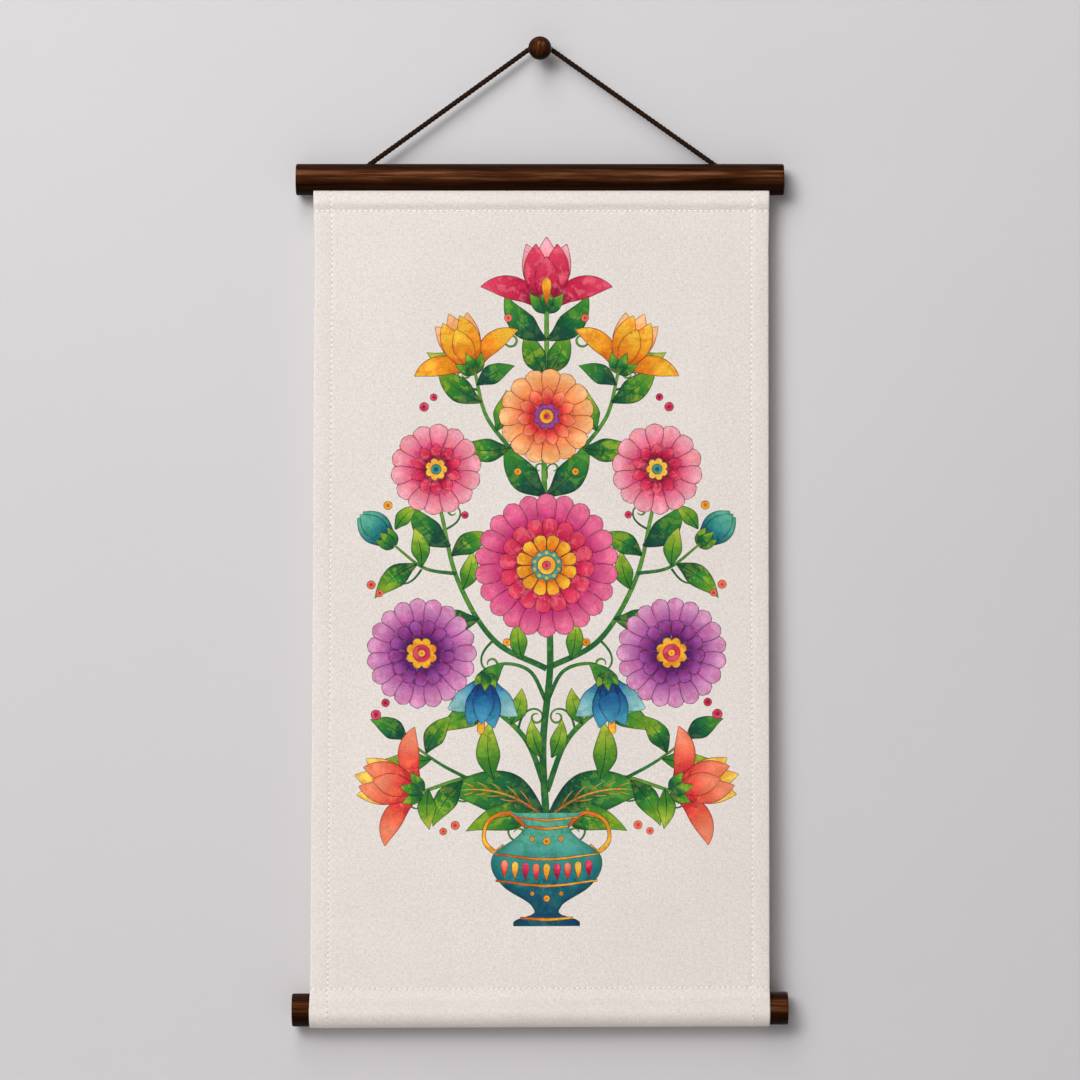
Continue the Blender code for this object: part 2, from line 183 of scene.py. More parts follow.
class Finish:
    """A node material under construction."""

    def __init__(self, name):
        self.material = bpy.data.materials.new(name)
        self.material.use_nodes = True
        self.tree = self.material.node_tree
        self.shader = self.tree.nodes["Principled BSDF"]

    def add(self, kind, settings=(), values=(), out=0):
        """Adds a node: its settings first, ramp stops among them, then its inputs."""
        node = self.tree.nodes.new(kind)
        for key, value in dict(settings).items():
            if key == "stops":
                ramp = node.color_ramp
                while len(ramp.elements) < len(value):
                    ramp.elements.new(0.5)
                for element, (place, colour) in zip(ramp.elements, value):
                    element.position = place
                    element.color = colour
            else:
                setattr(node, key, value)
        feed(self.tree, node, values)
        return Socket(self, node.outputs[out])

    def place(self):
        return self.add("ShaderNodeTexCoord", out="Object")

    def layer(self, name):
        """The piece's UV map of that name."""
        return self.add("ShaderNodeUVMap", {"uv_map": name})

    def attribute(self, name, out="Fac"):
        return self.add("ShaderNodeAttribute", {"attribute_name": name}, out=out)

    def stretched(self, vector, scale, move=(0.0, 0.0, 0.0), turn=(0.0, 0.0, 0.0)):
        values = {"Vector": vector, "Location": move, "Rotation": turn, "Scale": scale}
        return self.add("ShaderNodeMapping", {}, values)

    def noise(self, vector, scale, detail=3.0, roughness=0.5, distortion=0.0):
        values = {"Vector": vector, "Scale": scale, "Detail": detail}
        values.update({"Roughness": roughness, "Distortion": distortion})
        return self.add("ShaderNodeTexNoise", {}, values)

    def spread_noise(self, vector, scale, detail, roughness=0.5, move=(0.0, 0.0, 0.0)):
        """Noise with a scale of its own along each axis."""
        return self.noise(self.stretched(vector, scale, move), 1.0, detail, roughness)

    def joined(self, x, y, z=0.0):
        return self.add("ShaderNodeCombineXYZ", {}, {0: x, 1: y, 2: z})

    def mix(self, factor, a, b, blend="MIX"):
        """Mixes two colours."""
        settings = {"data_type": "RGBA", "blend_type": blend, "clamp_factor": True}
        return self.add("ShaderNodeMix", settings, {0: factor, 6: a, 7: b}, out=2)

    def times(self, a, b):
        """Multiplies two colours."""
        return self.mix(1.0, a, b, "MULTIPLY")

    def bump(self, height, distance, strength):
        values = {"Height": height, "Distance": distance, "Strength": strength}
        return self.add("ShaderNodeBump", {}, values)

    def done(self, colour, roughness, normal, **constants):
        """Feeds the shader and returns the material. Constants go on its own sockets."""
        values = {"Base Color": colour, "Roughness": roughness, "Normal": normal}
        values.update({key.replace("_", " "): value for key, value in constants.items()})
        feed(self.tree, self.shader, values)
        return self.material


def linear(red, green, blue):
    """An sRGB colour of 0 to 255 as a linear RGBA tuple."""
    def one(value):
        value /= 255.0
        return value / 12.92 if value <= 0.04045 else ((value + 0.055) / 1.055) ** 2.4
    return one(red), one(green), one(blue), 1.0


def shade(colour, share=1.0):
    """A share of a colour's three parts, as RGBA."""
    return (*(c * share for c in colour), 1.0)


# Mesh helpers

def linked_object(name, data):
    made = bpy.data.objects.new(name, data)
    bpy.context.scene.collection.objects.link(made)
    return made


def new_piece(name, mesh, material):
    """Puts a finished mesh in the scene, riding on the one body."""
    piece = linked_object(name, mesh)
    mesh.materials.clear()
    mesh.materials.append(material)
    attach(piece, BODY)
    return piece


def mesh_of(name, points, faces, sharp=None):
    mesh = bpy.data.meshes.new(name)
    mesh.from_pydata([tuple(p) for p in points], [], faces)
    mesh.validate()
    mesh.shade_smooth()
    if sharp is not None:
        mesh.set_sharp_from_angle(angle=math.radians(sharp))
    return mesh


def corner_points(mesh):
    """Number of the point at each face corner."""
    numbers = np.zeros(len(mesh.loops), np.int32)
    mesh.loops.foreach_get("vertex_index", numbers)
    return numbers


def turned_rings(profile, sides):
    """Points and faces of a shape turned about local Z; the profile starts and ends on the axis."""
    points, faces, rings = [], [], []
    for radius, height in profile:
        count = 1 if radius == 0.0 else sides
        rings.append([len(points) + i for i in range(count)])
        for i in range(count):
            angle = 2.0 * math.pi * i / sides
            points.append((radius * math.cos(angle), radius * math.sin(angle), height))
    for lower, upper in zip(rings, rings[1:]):
        for i in range(sides):
            j = (i + 1) % sides
            corners = [lower[i % len(lower)], lower[j % len(lower)]]
            corners += [upper[j % len(upper)], upper[i % len(upper)]]
            faces.append(list(dict.fromkeys(corners)))
    return points, faces


def tube_faces(rings, sides):
    """Quads between rings of points that follow each other, and a face over both ends."""
    faces = []
    for k in range(rings - 1):
        a, b = k * sides, (k + 1) * sides
        for i in range(sides):
            j = (i + 1) % sides
            faces.append((a + i, b + i, b + j, a + j))
    faces.append(tuple(range(sides)))
    last = (rings - 1) * sides
    faces.append(tuple(last + i for i in reversed(range(sides))))
    return faces


def dowel(radius, length):
    """Points and faces of a rod along local Z with rounded ends and rings along it."""
    round_steps, rings, sides = 5, 72, 96
    end = [(radius * share, -length / 2) for share in (0.0, 0.3, 0.6, 0.8)]
    for i in range(round_steps + 1):
        angle = 0.5 * math.pi * i / round_steps
        outward = radius - ROD_END_ROUNDING * (1.0 - math.sin(angle))
        end.append((outward, -length / 2 + ROD_END_ROUNDING * (1.0 - math.cos(angle))))
    straight = length / 2 - ROD_END_ROUNDING
    barrel = [(radius, -straight + 2.0 * straight * i / rings) for i in range(1, rings)]
    return turned_rings(end + barrel + [(r, -h) for r, h in reversed(end)], sides)


def laid_along_x(points, centre, slope=0.0):
    """Turns a shape from local Z to the X axis, tilts it by the slope and moves it to its centre."""
    angle = math.atan(slope)
    cos, sin = math.cos(angle), math.sin(angle)
    placed = []
    for x, y, z in points:
        placed.append((centre.x + z * cos + x * sin, centre.y + y, centre.z + z * sin - x * cos))
    return placed


def carved(piece, cutters):
    """Cuts the cutters out of a piece for good and removes them."""
    for cutter in cutters:
        modifier = piece.modifiers.new(cutter.name, "BOOLEAN")
        modifier.operation = "DIFFERENCE"
        modifier.solver = "EXACT"
        modifier.object = cutter
    bpy.context.view_layer.update()
    graph = bpy.context.evaluated_depsgraph_get()
    mesh = bpy.data.meshes.new_from_object(piece.evaluated_get(graph))
    piece.modifiers.clear()
    old = piece.data
    piece.data = mesh
    bpy.data.meshes.remove(old)
    for cutter in cutters:
        bpy.data.meshes.remove(cutter.data)


def helper_object(name, points, faces):
    """A cutter: a closed mesh in the scene that isn't a piece."""
    bm = bmesh.new()
    corners = [bm.verts.new(p) for p in points]
    for face in faces:
        bm.faces.new([corners[i] for i in face])
    bmesh.ops.recalc_face_normals(bm, faces=bm.faces)
    mesh = bpy.data.meshes.new(name)
    bm.to_mesh(mesh)
    bm.free()
    return linked_object(name, mesh)


# Stained wood

def rod_painted_light(centre, radius, slope=0.0):
    """Painted light and shade on a rod: lightest on its upper front, darkest underneath, darker again
    along its top.
    """
    def painted_light(place):
        height = (place.part(2) - place.part(0) * slope - centre.z) / radius
        return height.step(-0.44, 0.14) * (1.0 - height.step(0.34, 0.70) * 0.72)
    return painted_light


def knob_painted_light(place):
    """Painted light on the knob: a lit patch just above its middle, painted darker towards its rim."""
    across = (place.part(0) + 0.0004) / BALL_RADIUS
    height = (place.part(2) - 0.0010) / BALL_RADIUS
    far = (across * across + height * height) ** 0.5
    return 1.0 - far.step(0.30, 1.02)


def stained_wood(name, settings, painted_light, turn, pith, ring_scale=1.0):
    """Dark stained wood with its grain along local X after the turn, and its pith off centre; the given
    mask paints light and shade into its colour.
    """
    finish = Finish(name)
    place = finish.place()
    spot = finish.stretched(place, (1.0, 1.0, 1.0), pith, turn)
    wander = finish.spread_noise(spot, (5.0, 40.0, 40.0), 3.0)
    drift = (wander - 0.5) * 0.0060
    y = spot.part(1) + drift
    z = spot.part(2) + drift
    ring = (y * y + z * z) ** 0.5
    warped = finish.spread_noise(spot, (14.0, 130.0, 130.0), 4.0, 0.6)
    turns = ring * (2.0 * math.pi / settings.ring_spacing / ring_scale) + warped * 5.0
    band = (turns.sine() + 1.0) * 0.5
    streak = finish.spread_noise(spot, (16.0, 640.0, 640.0), 4.0, 0.66)
    broad = finish.spread_noise(spot, (14.0, 300.0, 300.0), 2.0, move=(0.3, 0.1, 0.7))
    pore = finish.spread_noise(spot, (55.0, 2300.0, 2300.0), 2.0).step(0.58, 0.70)
    tone = band * 0.24 + streak.step(0.32, 0.70) * 0.38 + broad.step(0.34, 0.64) * 0.38
    # Painted light, with the grain streaks mixed in: high on the lit part, low in the painted shade.
    painted_light_and_grain = painted_light(place) + (streak - 0.5) * 0.24
    deep, middle, pale = settings.deep_stain, settings.stain, settings.pale_grain_highlight
    stops = ((0.10, shade(deep)), (0.50, shade(middle)), (0.92, shade(pale)))
    # The grain's tone, painted paler where the light falls and darker in the shade.
    shown = tone * (0.40 + painted_light_and_grain * 0.62)
    colour = finish.add("ShaderNodeValToRGB", {"stops": stops}, {0: shown})
    # Painted shade: darkens the colour towards a dark stain where the wood is unlit.
    painted_shade_and_grain = 1.0 - painted_light_and_grain
    colour = finish.mix(painted_shade_and_grain * 0.66, colour, shade(deep, 0.35))
    cloud = finish.spread_noise(spot, (7.0, 22.0, 22.0), 2.0)
    colour = finish.mix(cloud.step(0.40, 0.80, 0.0, 0.35), colour, shade(deep))
    colour = finish.mix(pore * 0.6, colour, shade(deep, 0.6))
    roughness = finish.noise(spot, 260.0, 2.0) * 0.14 + streak * 0.10 + painted_shade_and_grain * 0.16
    roughness = roughness + (settings.roughness - 0.13)
    relief = streak * 0.5 - pore * 0.7 + band * 0.25
    normal = finish.bump(relief, 0.00012, 0.55)
    return finish.done(
        colour, roughness, normal, Specular_IOR_Level=0.07, Specular_Tint=(1.0, 0.36, 0.14, 1.0),
    )


class RodSettings(bpy.types.PropertyGroup):
    stain: bpy.props.FloatVectorProperty(
        name="Stain", description="Middle tone of the stained wood",
        default=linear(76, 40, 20)[:3], **COLOUR,
    )
    deep_stain: bpy.props.FloatVectorProperty(
        name="Deep stain", description="Tone of the dark grain",
        default=linear(24, 9, 4)[:3], **COLOUR,
    )
    # Palest grain tone, which shows where the painted light falls on the wood's lit part.
    pale_grain_highlight: bpy.props.FloatVectorProperty(
        name="Pale streaks", description="Tone of the palest streaks",
        default=linear(124, 82, 57)[:3], **COLOUR,
    )
    ring_spacing: bpy.props.FloatProperty(
        name="Ring spacing", description="Distance between two growth rings",
        default=0.0024, min=0.0005, unit="LENGTH",
    )
    roughness: bpy.props.FloatProperty(
        name="Roughness", description="Middle roughness of the finish", default=0.42, min=0.05,
    )


class HANGING_OT_top_rod(bpy.types.Operator):
    """Turns the top rod, saws its groove and drills its two cord holes"""

    bl_idname = "hanging.top_rod"
    bl_label = "Top Rod"

    def execute(self, context):
        points, faces = dowel(TOP_ROD_RADIUS, TOP_ROD_LENGTH)
        mesh = mesh_of("top_dowel", laid_along_x(points, TOP_ROD_CENTRE), faces)
        material = stained_wood(
            "stained_wood_top", context.scene.hanging_rod, rod_painted_light(TOP_ROD_CENTRE, TOP_ROD_RADIUS),
            (0.35, 0.0, 0.006), (0.0, 0.046, 0.131),
        )
        rod = new_piece("top_dowel", mesh, material)
        holes = [self.cord_hole(-1, CORD_LEFT_HOLE), self.cord_hole(1, CORD_RIGHT_HOLE)]
        carved(rod, [self.groove()] + holes)
        rod.data.shade_smooth()
        rod.data.set_sharp_from_angle(angle=math.radians(38))
        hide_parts("top_rod")
        return {"FINISHED"}

    def groove(self):
        """A saw cut up into the lower front, stopped short of both ends."""
        front = TOP_ROD_CENTRE.y - GROOVE_FRONT
        left, right = cloth_edges(TOP_ROD_CENTRE.z)
        across = (left - GROOVE_SPARE_LENGTH, right + GROOVE_SPARE_LENGTH)
        deep = (front, front + GROOVE_WIDTH)
        up = (TOP_ROD_CENTRE.z - 2.0 * TOP_ROD_RADIUS, LIP_HEIGHT + GROOVE_DEPTH_ABOVE_LIP)
        points = [(x, y, z) for x in across for y in deep for z in up]
        faces = [(0, 1, 3, 2), (4, 6, 7, 5), (0, 4, 5, 1), (2, 3, 7, 6), (0, 2, 6, 4), (1, 5, 7, 3)]
        return helper_object("groove", points, faces)

    def cord_hole(self, side, spread):
        """A blind hole at the cord's own slant."""
        radius = cord_diameter() / 2 + CLEARANCE
        depth = CORD_IN_HOLE + CLEARANCE
        drill = ((0.0, -depth), (radius, -depth), (radius, depth), (0.0, depth))
        points, faces = turned_rings(drill, 40)
        lean = side * (math.pi / 2 - cord_slope(spread))
        mouth = Vector((side * spread, TOP_ROD_CENTRE.y, TOP_ROD_HIGH.z))
        cos, sin = math.cos(lean), math.sin(lean)
        placed = [(mouth.x + x * cos - z * sin, mouth.y + y, mouth.z + x * sin + z * cos)
                  for x, y, z in points]
        return helper_object("cord_hole", placed, faces)


class HANGING_OT_bottom_rod(bpy.types.Operator):
    """Turns the thicker rod that lies in the cloth's pocket"""

    bl_idname = "hanging.bottom_rod"
    bl_label = "Bottom Rod"

    def execute(self, context):
        points, faces = dowel(BOTTOM_ROD_RADIUS, BOTTOM_ROD_LENGTH)
        placed = laid_along_x(points, BOTTOM_ROD_CENTRE, BOTTOM_ROD_SLOPE)
        material = stained_wood(
            "stained_wood_bottom", context.scene.hanging_rod,
            rod_painted_light(BOTTOM_ROD_CENTRE, BOTTOM_ROD_RADIUS, BOTTOM_ROD_SLOPE),
            (2.2, 0.0, -0.004), (0.3, 0.034, 0.816),
        )
        rod = new_piece("bottom_dowel", mesh_of("bottom_dowel", placed, faces, 38), material)
        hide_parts("bottom_rod")
        return {"FINISHED"}


class HANGING_OT_wall_knob(bpy.types.Operator):
    """Turns the knob: foot, neck and ball in one piece"""

    bl_idname = "hanging.wall_knob"
    bl_label = "Wall Knob"

    NECK_RING_SPACING = 0.0018

    def execute(self, context):
        neck_angle = math.degrees(math.acos(NECK_RADIUS / BALL_RADIUS))
        small, large = FOOT_ROUNDING / 2, FOOT_ROUNDING
        neck_foot = FOOT_THICKNESS + NECK_FILLET
        profile = [(0.0, 0.0), (FOOT_RADIUS * 0.5, 0.0)]
        profile += arc((FOOT_RADIUS - small, small), small, -90, 0, 3)
        profile += arc((FOOT_RADIUS - large, FOOT_THICKNESS - large), large, 0, 90, 6)
        profile += arc((NECK_RADIUS + NECK_FILLET, neck_foot), NECK_FILLET, 270, 180, 6)
        profile += [(NECK_RADIUS, neck_foot + self.NECK_RING_SPACING * i) for i in (1, 2, 3)]
        profile += arc((0.0, BALL_FROM_WALL), BALL_RADIUS, -neck_angle, 90, 40)[:-1]
        profile.append((0.0, BALL_FROM_WALL + BALL_RADIUS))
        points, faces = turned_rings(profile, 72)
        placed = [(x, -z, y) for x, y, z in points]
        material = stained_wood(
            "stained_wood_knob", context.scene.hanging_rod, knob_painted_light,
            (0.0, 1.40, 0.2), (0.7, 0.052, 0.017), 0.55,
        )
        knob = new_piece("turned_knob", mesh_of("turned_knob", placed, faces, 30), material)
        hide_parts("wall_knob")
        return {"FINISHED"}


def arc(centre, radius, first, last, steps):
    """Points of an arc in the (radius, height) plane, angles in degrees from the radius axis."""
    angles = [math.radians(first + (last - first) * i / steps) for i in range(steps + 1)]
    return [(centre[0] + radius * math.cos(a), centre[1] + radius * math.sin(a)) for a in angles]


# Cord

class CordSettings(bpy.types.PropertyGroup):
    diameter: bpy.props.FloatProperty(
        name="Diameter", description="Thickness of the cord", default=0.0042, min=0.001, unit="LENGTH",
    )
    strands: bpy.props.IntProperty(
        name="Strands", description="Yarns twisted together", default=4, min=2, max=8,
    )
    lay: bpy.props.FloatProperty(
        name="Lay length", description="Length of one full turn of a strand",
        default=0.0150, min=0.004, unit="LENGTH",
    )
    colour: bpy.props.FloatVectorProperty(
        name="Colour", description="Colour of the yarn", default=linear(44, 26, 14)[:3], **COLOUR,
    )
    fleck: bpy.props.FloatVectorProperty(
        name="Flecks", description="Colour of the pale fibres", default=linear(115, 84, 55)[:3], **COLOUR,
    )


def cord_diameter():
    return bpy.context.scene.hanging_cord.diameter


def cord_bend_radius():
    return 1.75 * cord_diameter()


def cord_bend_centre():
    """Height of the centre of the cord's bend, whose crown lies on the neck."""
    return NECK_RADIUS + CLEARANCE + cord_diameter() / 2 - cord_bend_radius()


def cord_slope(spread):
    """Angle below level of a straight leg, from the bend to a hole this far off the middle."""
    drop = cord_bend_centre() - TOP_ROD_HIGH.z
    reach = math.hypot(spread, drop)
    return math.atan2(drop, spread) + math.asin(cord_bend_radius() / reach)


def cord_leg(spread, spacing):
    """Centreline of one leg as (distance off the middle, y, z), from the bend into its hole."""
    slope = cord_slope(spread)
    leaves_x = cord_bend_radius() * math.sin(slope)
    leaves_z = cord_bend_centre() + cord_bend_radius() * math.cos(slope)
    free = (leaves_z - TOP_ROD_HIGH.z) / math.sin(slope)
    length = free + CORD_IN_HOLE
    pieces = round(length / spacing)
    leg = []
    for i in range(1, pieces + 1):
        along = length * i / pieces
        out = (-TOP_ROD_CENTRE.y - CORD_FROM_WALL_AT_KNOB) * min(1.0, along / free)
        leg.append((
            leaves_x + along * math.cos(slope),
            -CORD_FROM_WALL_AT_KNOB - out,
            leaves_z - along * math.sin(slope),
        ))
    return leg


def cord_route(spacing):
    """Centreline of the cord from its left hole over the knob's neck to its right hole."""
    first = -cord_slope(CORD_LEFT_HOLE)
    last = cord_slope(CORD_RIGHT_HOLE)
    radius = cord_bend_radius()
    steps = max(8, round((last - first) * radius / spacing))
    angles = [first + (last - first) * i / steps for i in range(steps + 1)]
    bend = [(radius * math.sin(a), -CORD_FROM_WALL_AT_KNOB, cord_bend_centre() + radius * math.cos(a))
            for a in angles]
    left = [(-x, y, z) for x, y, z in reversed(cord_leg(CORD_LEFT_HOLE, spacing))]
    return [Vector(place) for place in left + bend + cord_leg(CORD_RIGHT_HOLE, spacing)]


def yarn_material(settings):
    """Matt twisted yarn: fibres run along each strand, with pale flecks where they stand out and painted
    shade in the valleys between strands.
    """
    finish = Finish("twisted_yarn")
    layer = finish.layer("yarn")
    along = layer.part(0)
    across = layer.part(1)
    fibre = finish.noise(finish.joined(along * 260.0, across * 9.0), 1.0, 3.0, 0.6)
    fleck = finish.noise(finish.joined(along * 900.0, across * 14.0), 1.0, 2.0).step(0.60, 0.74)
    valley = finish.attribute("valley")
    colour = finish.mix(fibre.step(0.3, 0.7), shade(settings.colour, 0.6), shade(settings.colour))
    colour = finish.mix(fleck * (1.0 - valley) * 0.85, colour, shade(settings.fleck))
    # Painted shade: darker in the valleys between the strands.
    colour = finish.mix(valley * 0.8, colour, shade(settings.colour, 0.25))
    ply_place = finish.joined(0.0, across * 3.0 + along * 420.0)
    ply = finish.add("ShaderNodeTexWave", {"bands_direction": "Y"}, {
        "Vector": ply_place, "Scale": 1.0, "Distortion": 1.5,
    })
    normal = finish.bump(fibre * 0.6 + ply * 0.4, 0.0002, 0.8)
    return finish.done(
        colour, 0.82, normal, Sheen_Weight=0.01, Sheen_Roughness=0.5, Specular_IOR_Level=0.07,
    )


class HANGING_OT_cord(bpy.types.Operator):
    """Twists the hanging cord along its drawn-tight route"""

    bl_idname = "hanging.cord"
    bl_label = "Hanging Cord"

    RING_SPACING = 0.0006
    SIDES_PER_STRAND = 8
    VALLEY_RADIUS = 0.78
    FULLNESS = 1.06

    def execute(self, context):
        settings = context.scene.hanging_cord
        route = cord_route(self.RING_SPACING)
        points, faces, layer, valley = self.tube(route, settings)
        mesh = mesh_of("twisted_cord", points, faces)
        mesh.attributes.new("valley", "FLOAT", "POINT").data.foreach_set("value", valley)
        layer = np.array(layer)[corner_points(mesh)]
        mesh.uv_layers.new(name="yarn").data.foreach_set("uv", layer.ravel())
        cord = new_piece("twisted_cord", mesh, yarn_material(settings))
        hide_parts("hanging_cord")
        return {"FINISHED"}

    def strand_radius(self, angle, strands):
        """Radius of the strands' rounded outline, as a share of the cord's, and the valley's depth."""
        half = math.pi / strands
        off = (angle + half) % (2.0 * half) - half
        reach = 1.0 / (1.0 + math.sin(half))
        own = reach * math.sin(half)
        inside = max(0.0, own**2 - (reach * math.sin(off)) ** 2)
        radius = reach * math.cos(off) + math.sqrt(inside)
        valley = min(1.0, abs(off) / half)
        return max(self.VALLEY_RADIUS, radius), valley**3

    def tube(self, route, settings):
        strands = settings.strands
        sides = strands * self.SIDES_PER_STRAND
        points, layer, valleys = [], [], []
        travelled = 0.0
        for k, centre in enumerate(route):
            if k:
                travelled += (centre - route[k - 1]).length
            ahead = (route[min(k + 1, len(route) - 1)] - route[max(k - 1, 0)]).normalized()
            side = Vector((0.0, 1.0, 0.0))
            up = ahead.cross(side).normalized()
            twist = 2.0 * math.pi * travelled / settings.lay
            for i in range(sides):
                angle = 2.0 * math.pi * i / sides
                share, valley = self.strand_radius(angle, strands)
                radius = share * self.FULLNESS * settings.diameter / 2
                turned = angle + twist
                points.append(centre + (side * math.cos(turned) + up * math.sin(turned)) * radius)
                layer.append((travelled, 1.0 - abs(2.0 * i / sides - 1.0)))
                valleys.append(valley)
        return points, tube_faces(len(route), sides), layer, valleys


# Cloth shape, as the solid has it

CLOTH_WIDTH = 0.3800
CLOTH_THICKNESS = 0.0010
HEM_LAYER = 0.0008
HEM_CROWN = 0.00035
TOP_HEM_CROWN = 0.0019
POCKET_CROWN = 0.0007
STITCH_DEPTH = 0.00028
STITCH_HALF_WIDTH = 0.0011
PUCKER_HEIGHT = 0.00009
PUCKER_REACH = 0.009
PUCKER_START = 0.004
LEFT_HEM_WIDTH = 0.0148
RIGHT_HEM_WIDTH = 0.0143
TOP_STITCH_HEIGHT = -0.1358
POCKET_STITCH_HEIGHT = -0.7826
POCKET_SEAM = 0.0030
POCKET_FLAP = 0.0060
LAYER_GAP = 0.00005
HEM_STEP = 0.0012
SIDE_HEM_STOP = 0.008
SIDE_HEM_FADE = 0.003
TOP_HEM_SPARE = 0.002
LIP_FADE = 0.0006
ROD_FADE = 0.010
SIDE_STITCHES_END = 0.8290
WAVE_HEIGHT = 0.0007
WAVE_ACROSS = 0.260
WAVE_DOWN = 0.420
WAVE_TURN = 0.9
WAVE_DIES_OUT = 0.060

# Down the cloth: height, left edge, right edge.
SIDE_EDGES = np.array((
    (-0.1100, -0.1884, 0.1909),
    (-0.1210, -0.1889, 0.1912),
    (-0.1670, -0.1877, 0.1904),
    (-0.2610, -0.1884, 0.1904),
    (-0.3300, -0.1888, 0.1905),
    (-0.4300, -0.1890, 0.1905),
    (-0.5500, -0.1897, 0.1907),
    (-0.6900, -0.1906, 0.1909),
    (-0.7826, -0.1912, 0.1909),
    (-0.8012, -0.1922, 0.1915),
    (-0.8170, -0.1920, 0.1913),
))

# Creases and dents that the cloth keeps from its packing, each a soft ridge or trough:
# middle x, middle height, half length, half width, lean in degrees, rise (minus is a trough).
CREASES = (
    (-0.120, -0.225, 0.110, 0.014, 68, 0.00035),
    (0.105, -0.300, 0.150, 0.018, -80, -0.00040),
    (0.020, -0.190, 0.090, 0.012, 12, -0.00025),
    (-0.060, -0.700, 0.120, 0.016, -8, 0.00035),
    (0.110, -0.735, 0.070, 0.011, 24, -0.00030),
    (-0.150, -0.560, 0.120, 0.013, 84, -0.00030),
    (0.150, -0.600, 0.110, 0.012, 95, 0.00032),
)


def cloth_edges(height):
    """X of the cloth's left and right edges at a height, or at many."""
    heights = SIDE_EDGES[::-1, 0]
    left = np.interp(height, heights, SIDE_EDGES[::-1, 1])
    right = np.interp(height, heights, SIDE_EDGES[::-1, 2])
    return left, right


def smooth_share(value):
    value = np.clip(value, 0.0, 1.0)
    return value * value * (3.0 - 2.0 * value)


class ClothRoute:
    """The cloth's middle layer, followed from the groove down the front and round the pocket.

    A place on it is its way: the depth below the knob on the front, then the length further on.
    """

    TURN_RADIUS = 0.0012
    TURN_STEPS = 8
    POCKET_STEPS = 240
    FINE_STEPS = 6000

    def __init__(self):
        half = CLOTH_THICKNESS / 2
        self.lip_y = TOP_ROD_CENTRE.y - GROOVE_FRONT + CLEARANCE + half
        self.top = LIP_HEIGHT + GROOVE_DEPTH_ABOVE_LIP - CLEARANCE
        self.radius = BOTTOM_ROD_RADIUS + CLEARANCE + half
        rod = BOTTOM_ROD_CENTRE
        self.front_y = rod.y - self.radius
        points = [(self.lip_y, self.top), (self.lip_y, LIP_HEIGHT), (self.front_y, rod.z)]
        seam_z = POCKET_STITCH_HEIGHT - POCKET_SEAM
        behind = CLOTH_THICKNESS + LAYER_GAP
        seam_y = self.sheet_y(seam_z) + behind
        reach = math.hypot(seam_y - rod.y, seam_z - rod.z)
        leave = math.atan2(seam_z - rod.z, seam_y - rod.y) - math.acos(self.radius / reach)
        sweep = math.pi + leave
        for i in range(1, self.POCKET_STEPS + 1):
            angle = math.pi + sweep * i / self.POCKET_STEPS
            out, up = self.radius * math.cos(angle), self.radius * math.sin(angle)
            points.append((rod.y + out, rod.z + up))
        leaves = Vector(points[-1])
        corner = Vector((seam_y, seam_z))
        end_z = POCKET_STITCH_HEIGHT + POCKET_FLAP
        end = Vector((self.sheet_y(end_z) + behind, end_z))
        before = corner + (leaves - corner).normalized() * self.TURN_RADIUS
        after = corner + (end - corner).normalized() * self.TURN_RADIUS
        for i in range(self.TURN_STEPS + 1):
            t = i / self.TURN_STEPS
            points.append(tuple(before * (1 - t) ** 2 + corner * 2 * t * (1 - t) + after * t * t))
        points.append(tuple(end))
        steps = np.hypot(*np.diff(np.array(points), axis=0).T)
        ways = np.concatenate([[0.0], np.cumsum(steps)])
        depth_on_front = [-self.top, -LIP_HEIGHT, -rod.z]
        ways = np.concatenate([depth_on_front, -rod.z + ways[3:] - ways[2]])
        self.ways = ways
        self.points = np.array(points)
        self.end = ways[-1]
        self.seam = ways[-self.TURN_STEPS - 2]
        fine = np.linspace(ways[0], ways[-1], self.FINE_STEPS + 1)
        y = np.interp(fine, ways, self.points[:, 0])
        z = np.interp(fine, ways, self.points[:, 1])
        ahead_y, ahead_z = np.gradient(y), np.gradient(z)
        size = np.hypot(ahead_y, ahead_z)
        self.fine = fine
        self.face_y, self.face_z = ahead_z / size, -ahead_y / size

    def sheet_y(self, height):
        share = (LIP_HEIGHT - height) / (LIP_HEIGHT - BOTTOM_ROD_CENTRE.z)
        return self.lip_y + min(1.0, max(0.0, share)) * (self.front_y - self.lip_y)

    def at(self, way):
        """y, z and the printed side's direction at one way or many."""
        y = np.interp(way, self.ways, self.points[:, 0])
        z = np.interp(way, self.ways, self.points[:, 1])
        return y, z, np.interp(way, self.fine, self.face_y), np.interp(way, self.fine, self.face_z)


def hem_distances(x, height):
    left, right = cloth_edges(height)
    return x - left, right - x


def swell(x, way):
    """Forward swell of the hanging cloth: the waves of its solid, and its creases."""
    held = smooth_share((way + TOP_STITCH_HEIGHT) / WAVE_DIES_OUT)
    held = held * smooth_share((-POCKET_STITCH_HEIGHT - way) / WAVE_DIES_OUT)
    waves = np.sin(2.0 * math.pi * x / WAVE_ACROSS + WAVE_TURN)
    waves = waves * np.cos(2.0 * math.pi * way / WAVE_DOWN)
    forward = WAVE_HEIGHT * waves
    for middle_x, height, half_length, half_width, lean, rise in CREASES:
        cos, sin = math.cos(math.radians(lean)), math.sin(math.radians(lean))
        along = (x - middle_x) * cos + (-way - height) * sin
        across = (-way - height) * cos - (x - middle_x) * sin
        bent = across - 0.08 * along * along / half_length
        fade = (along / half_length) ** 2 * 1.5 + (bent / half_width) ** 2
        forward = forward + rise * np.exp(-fade)
    return forward * held


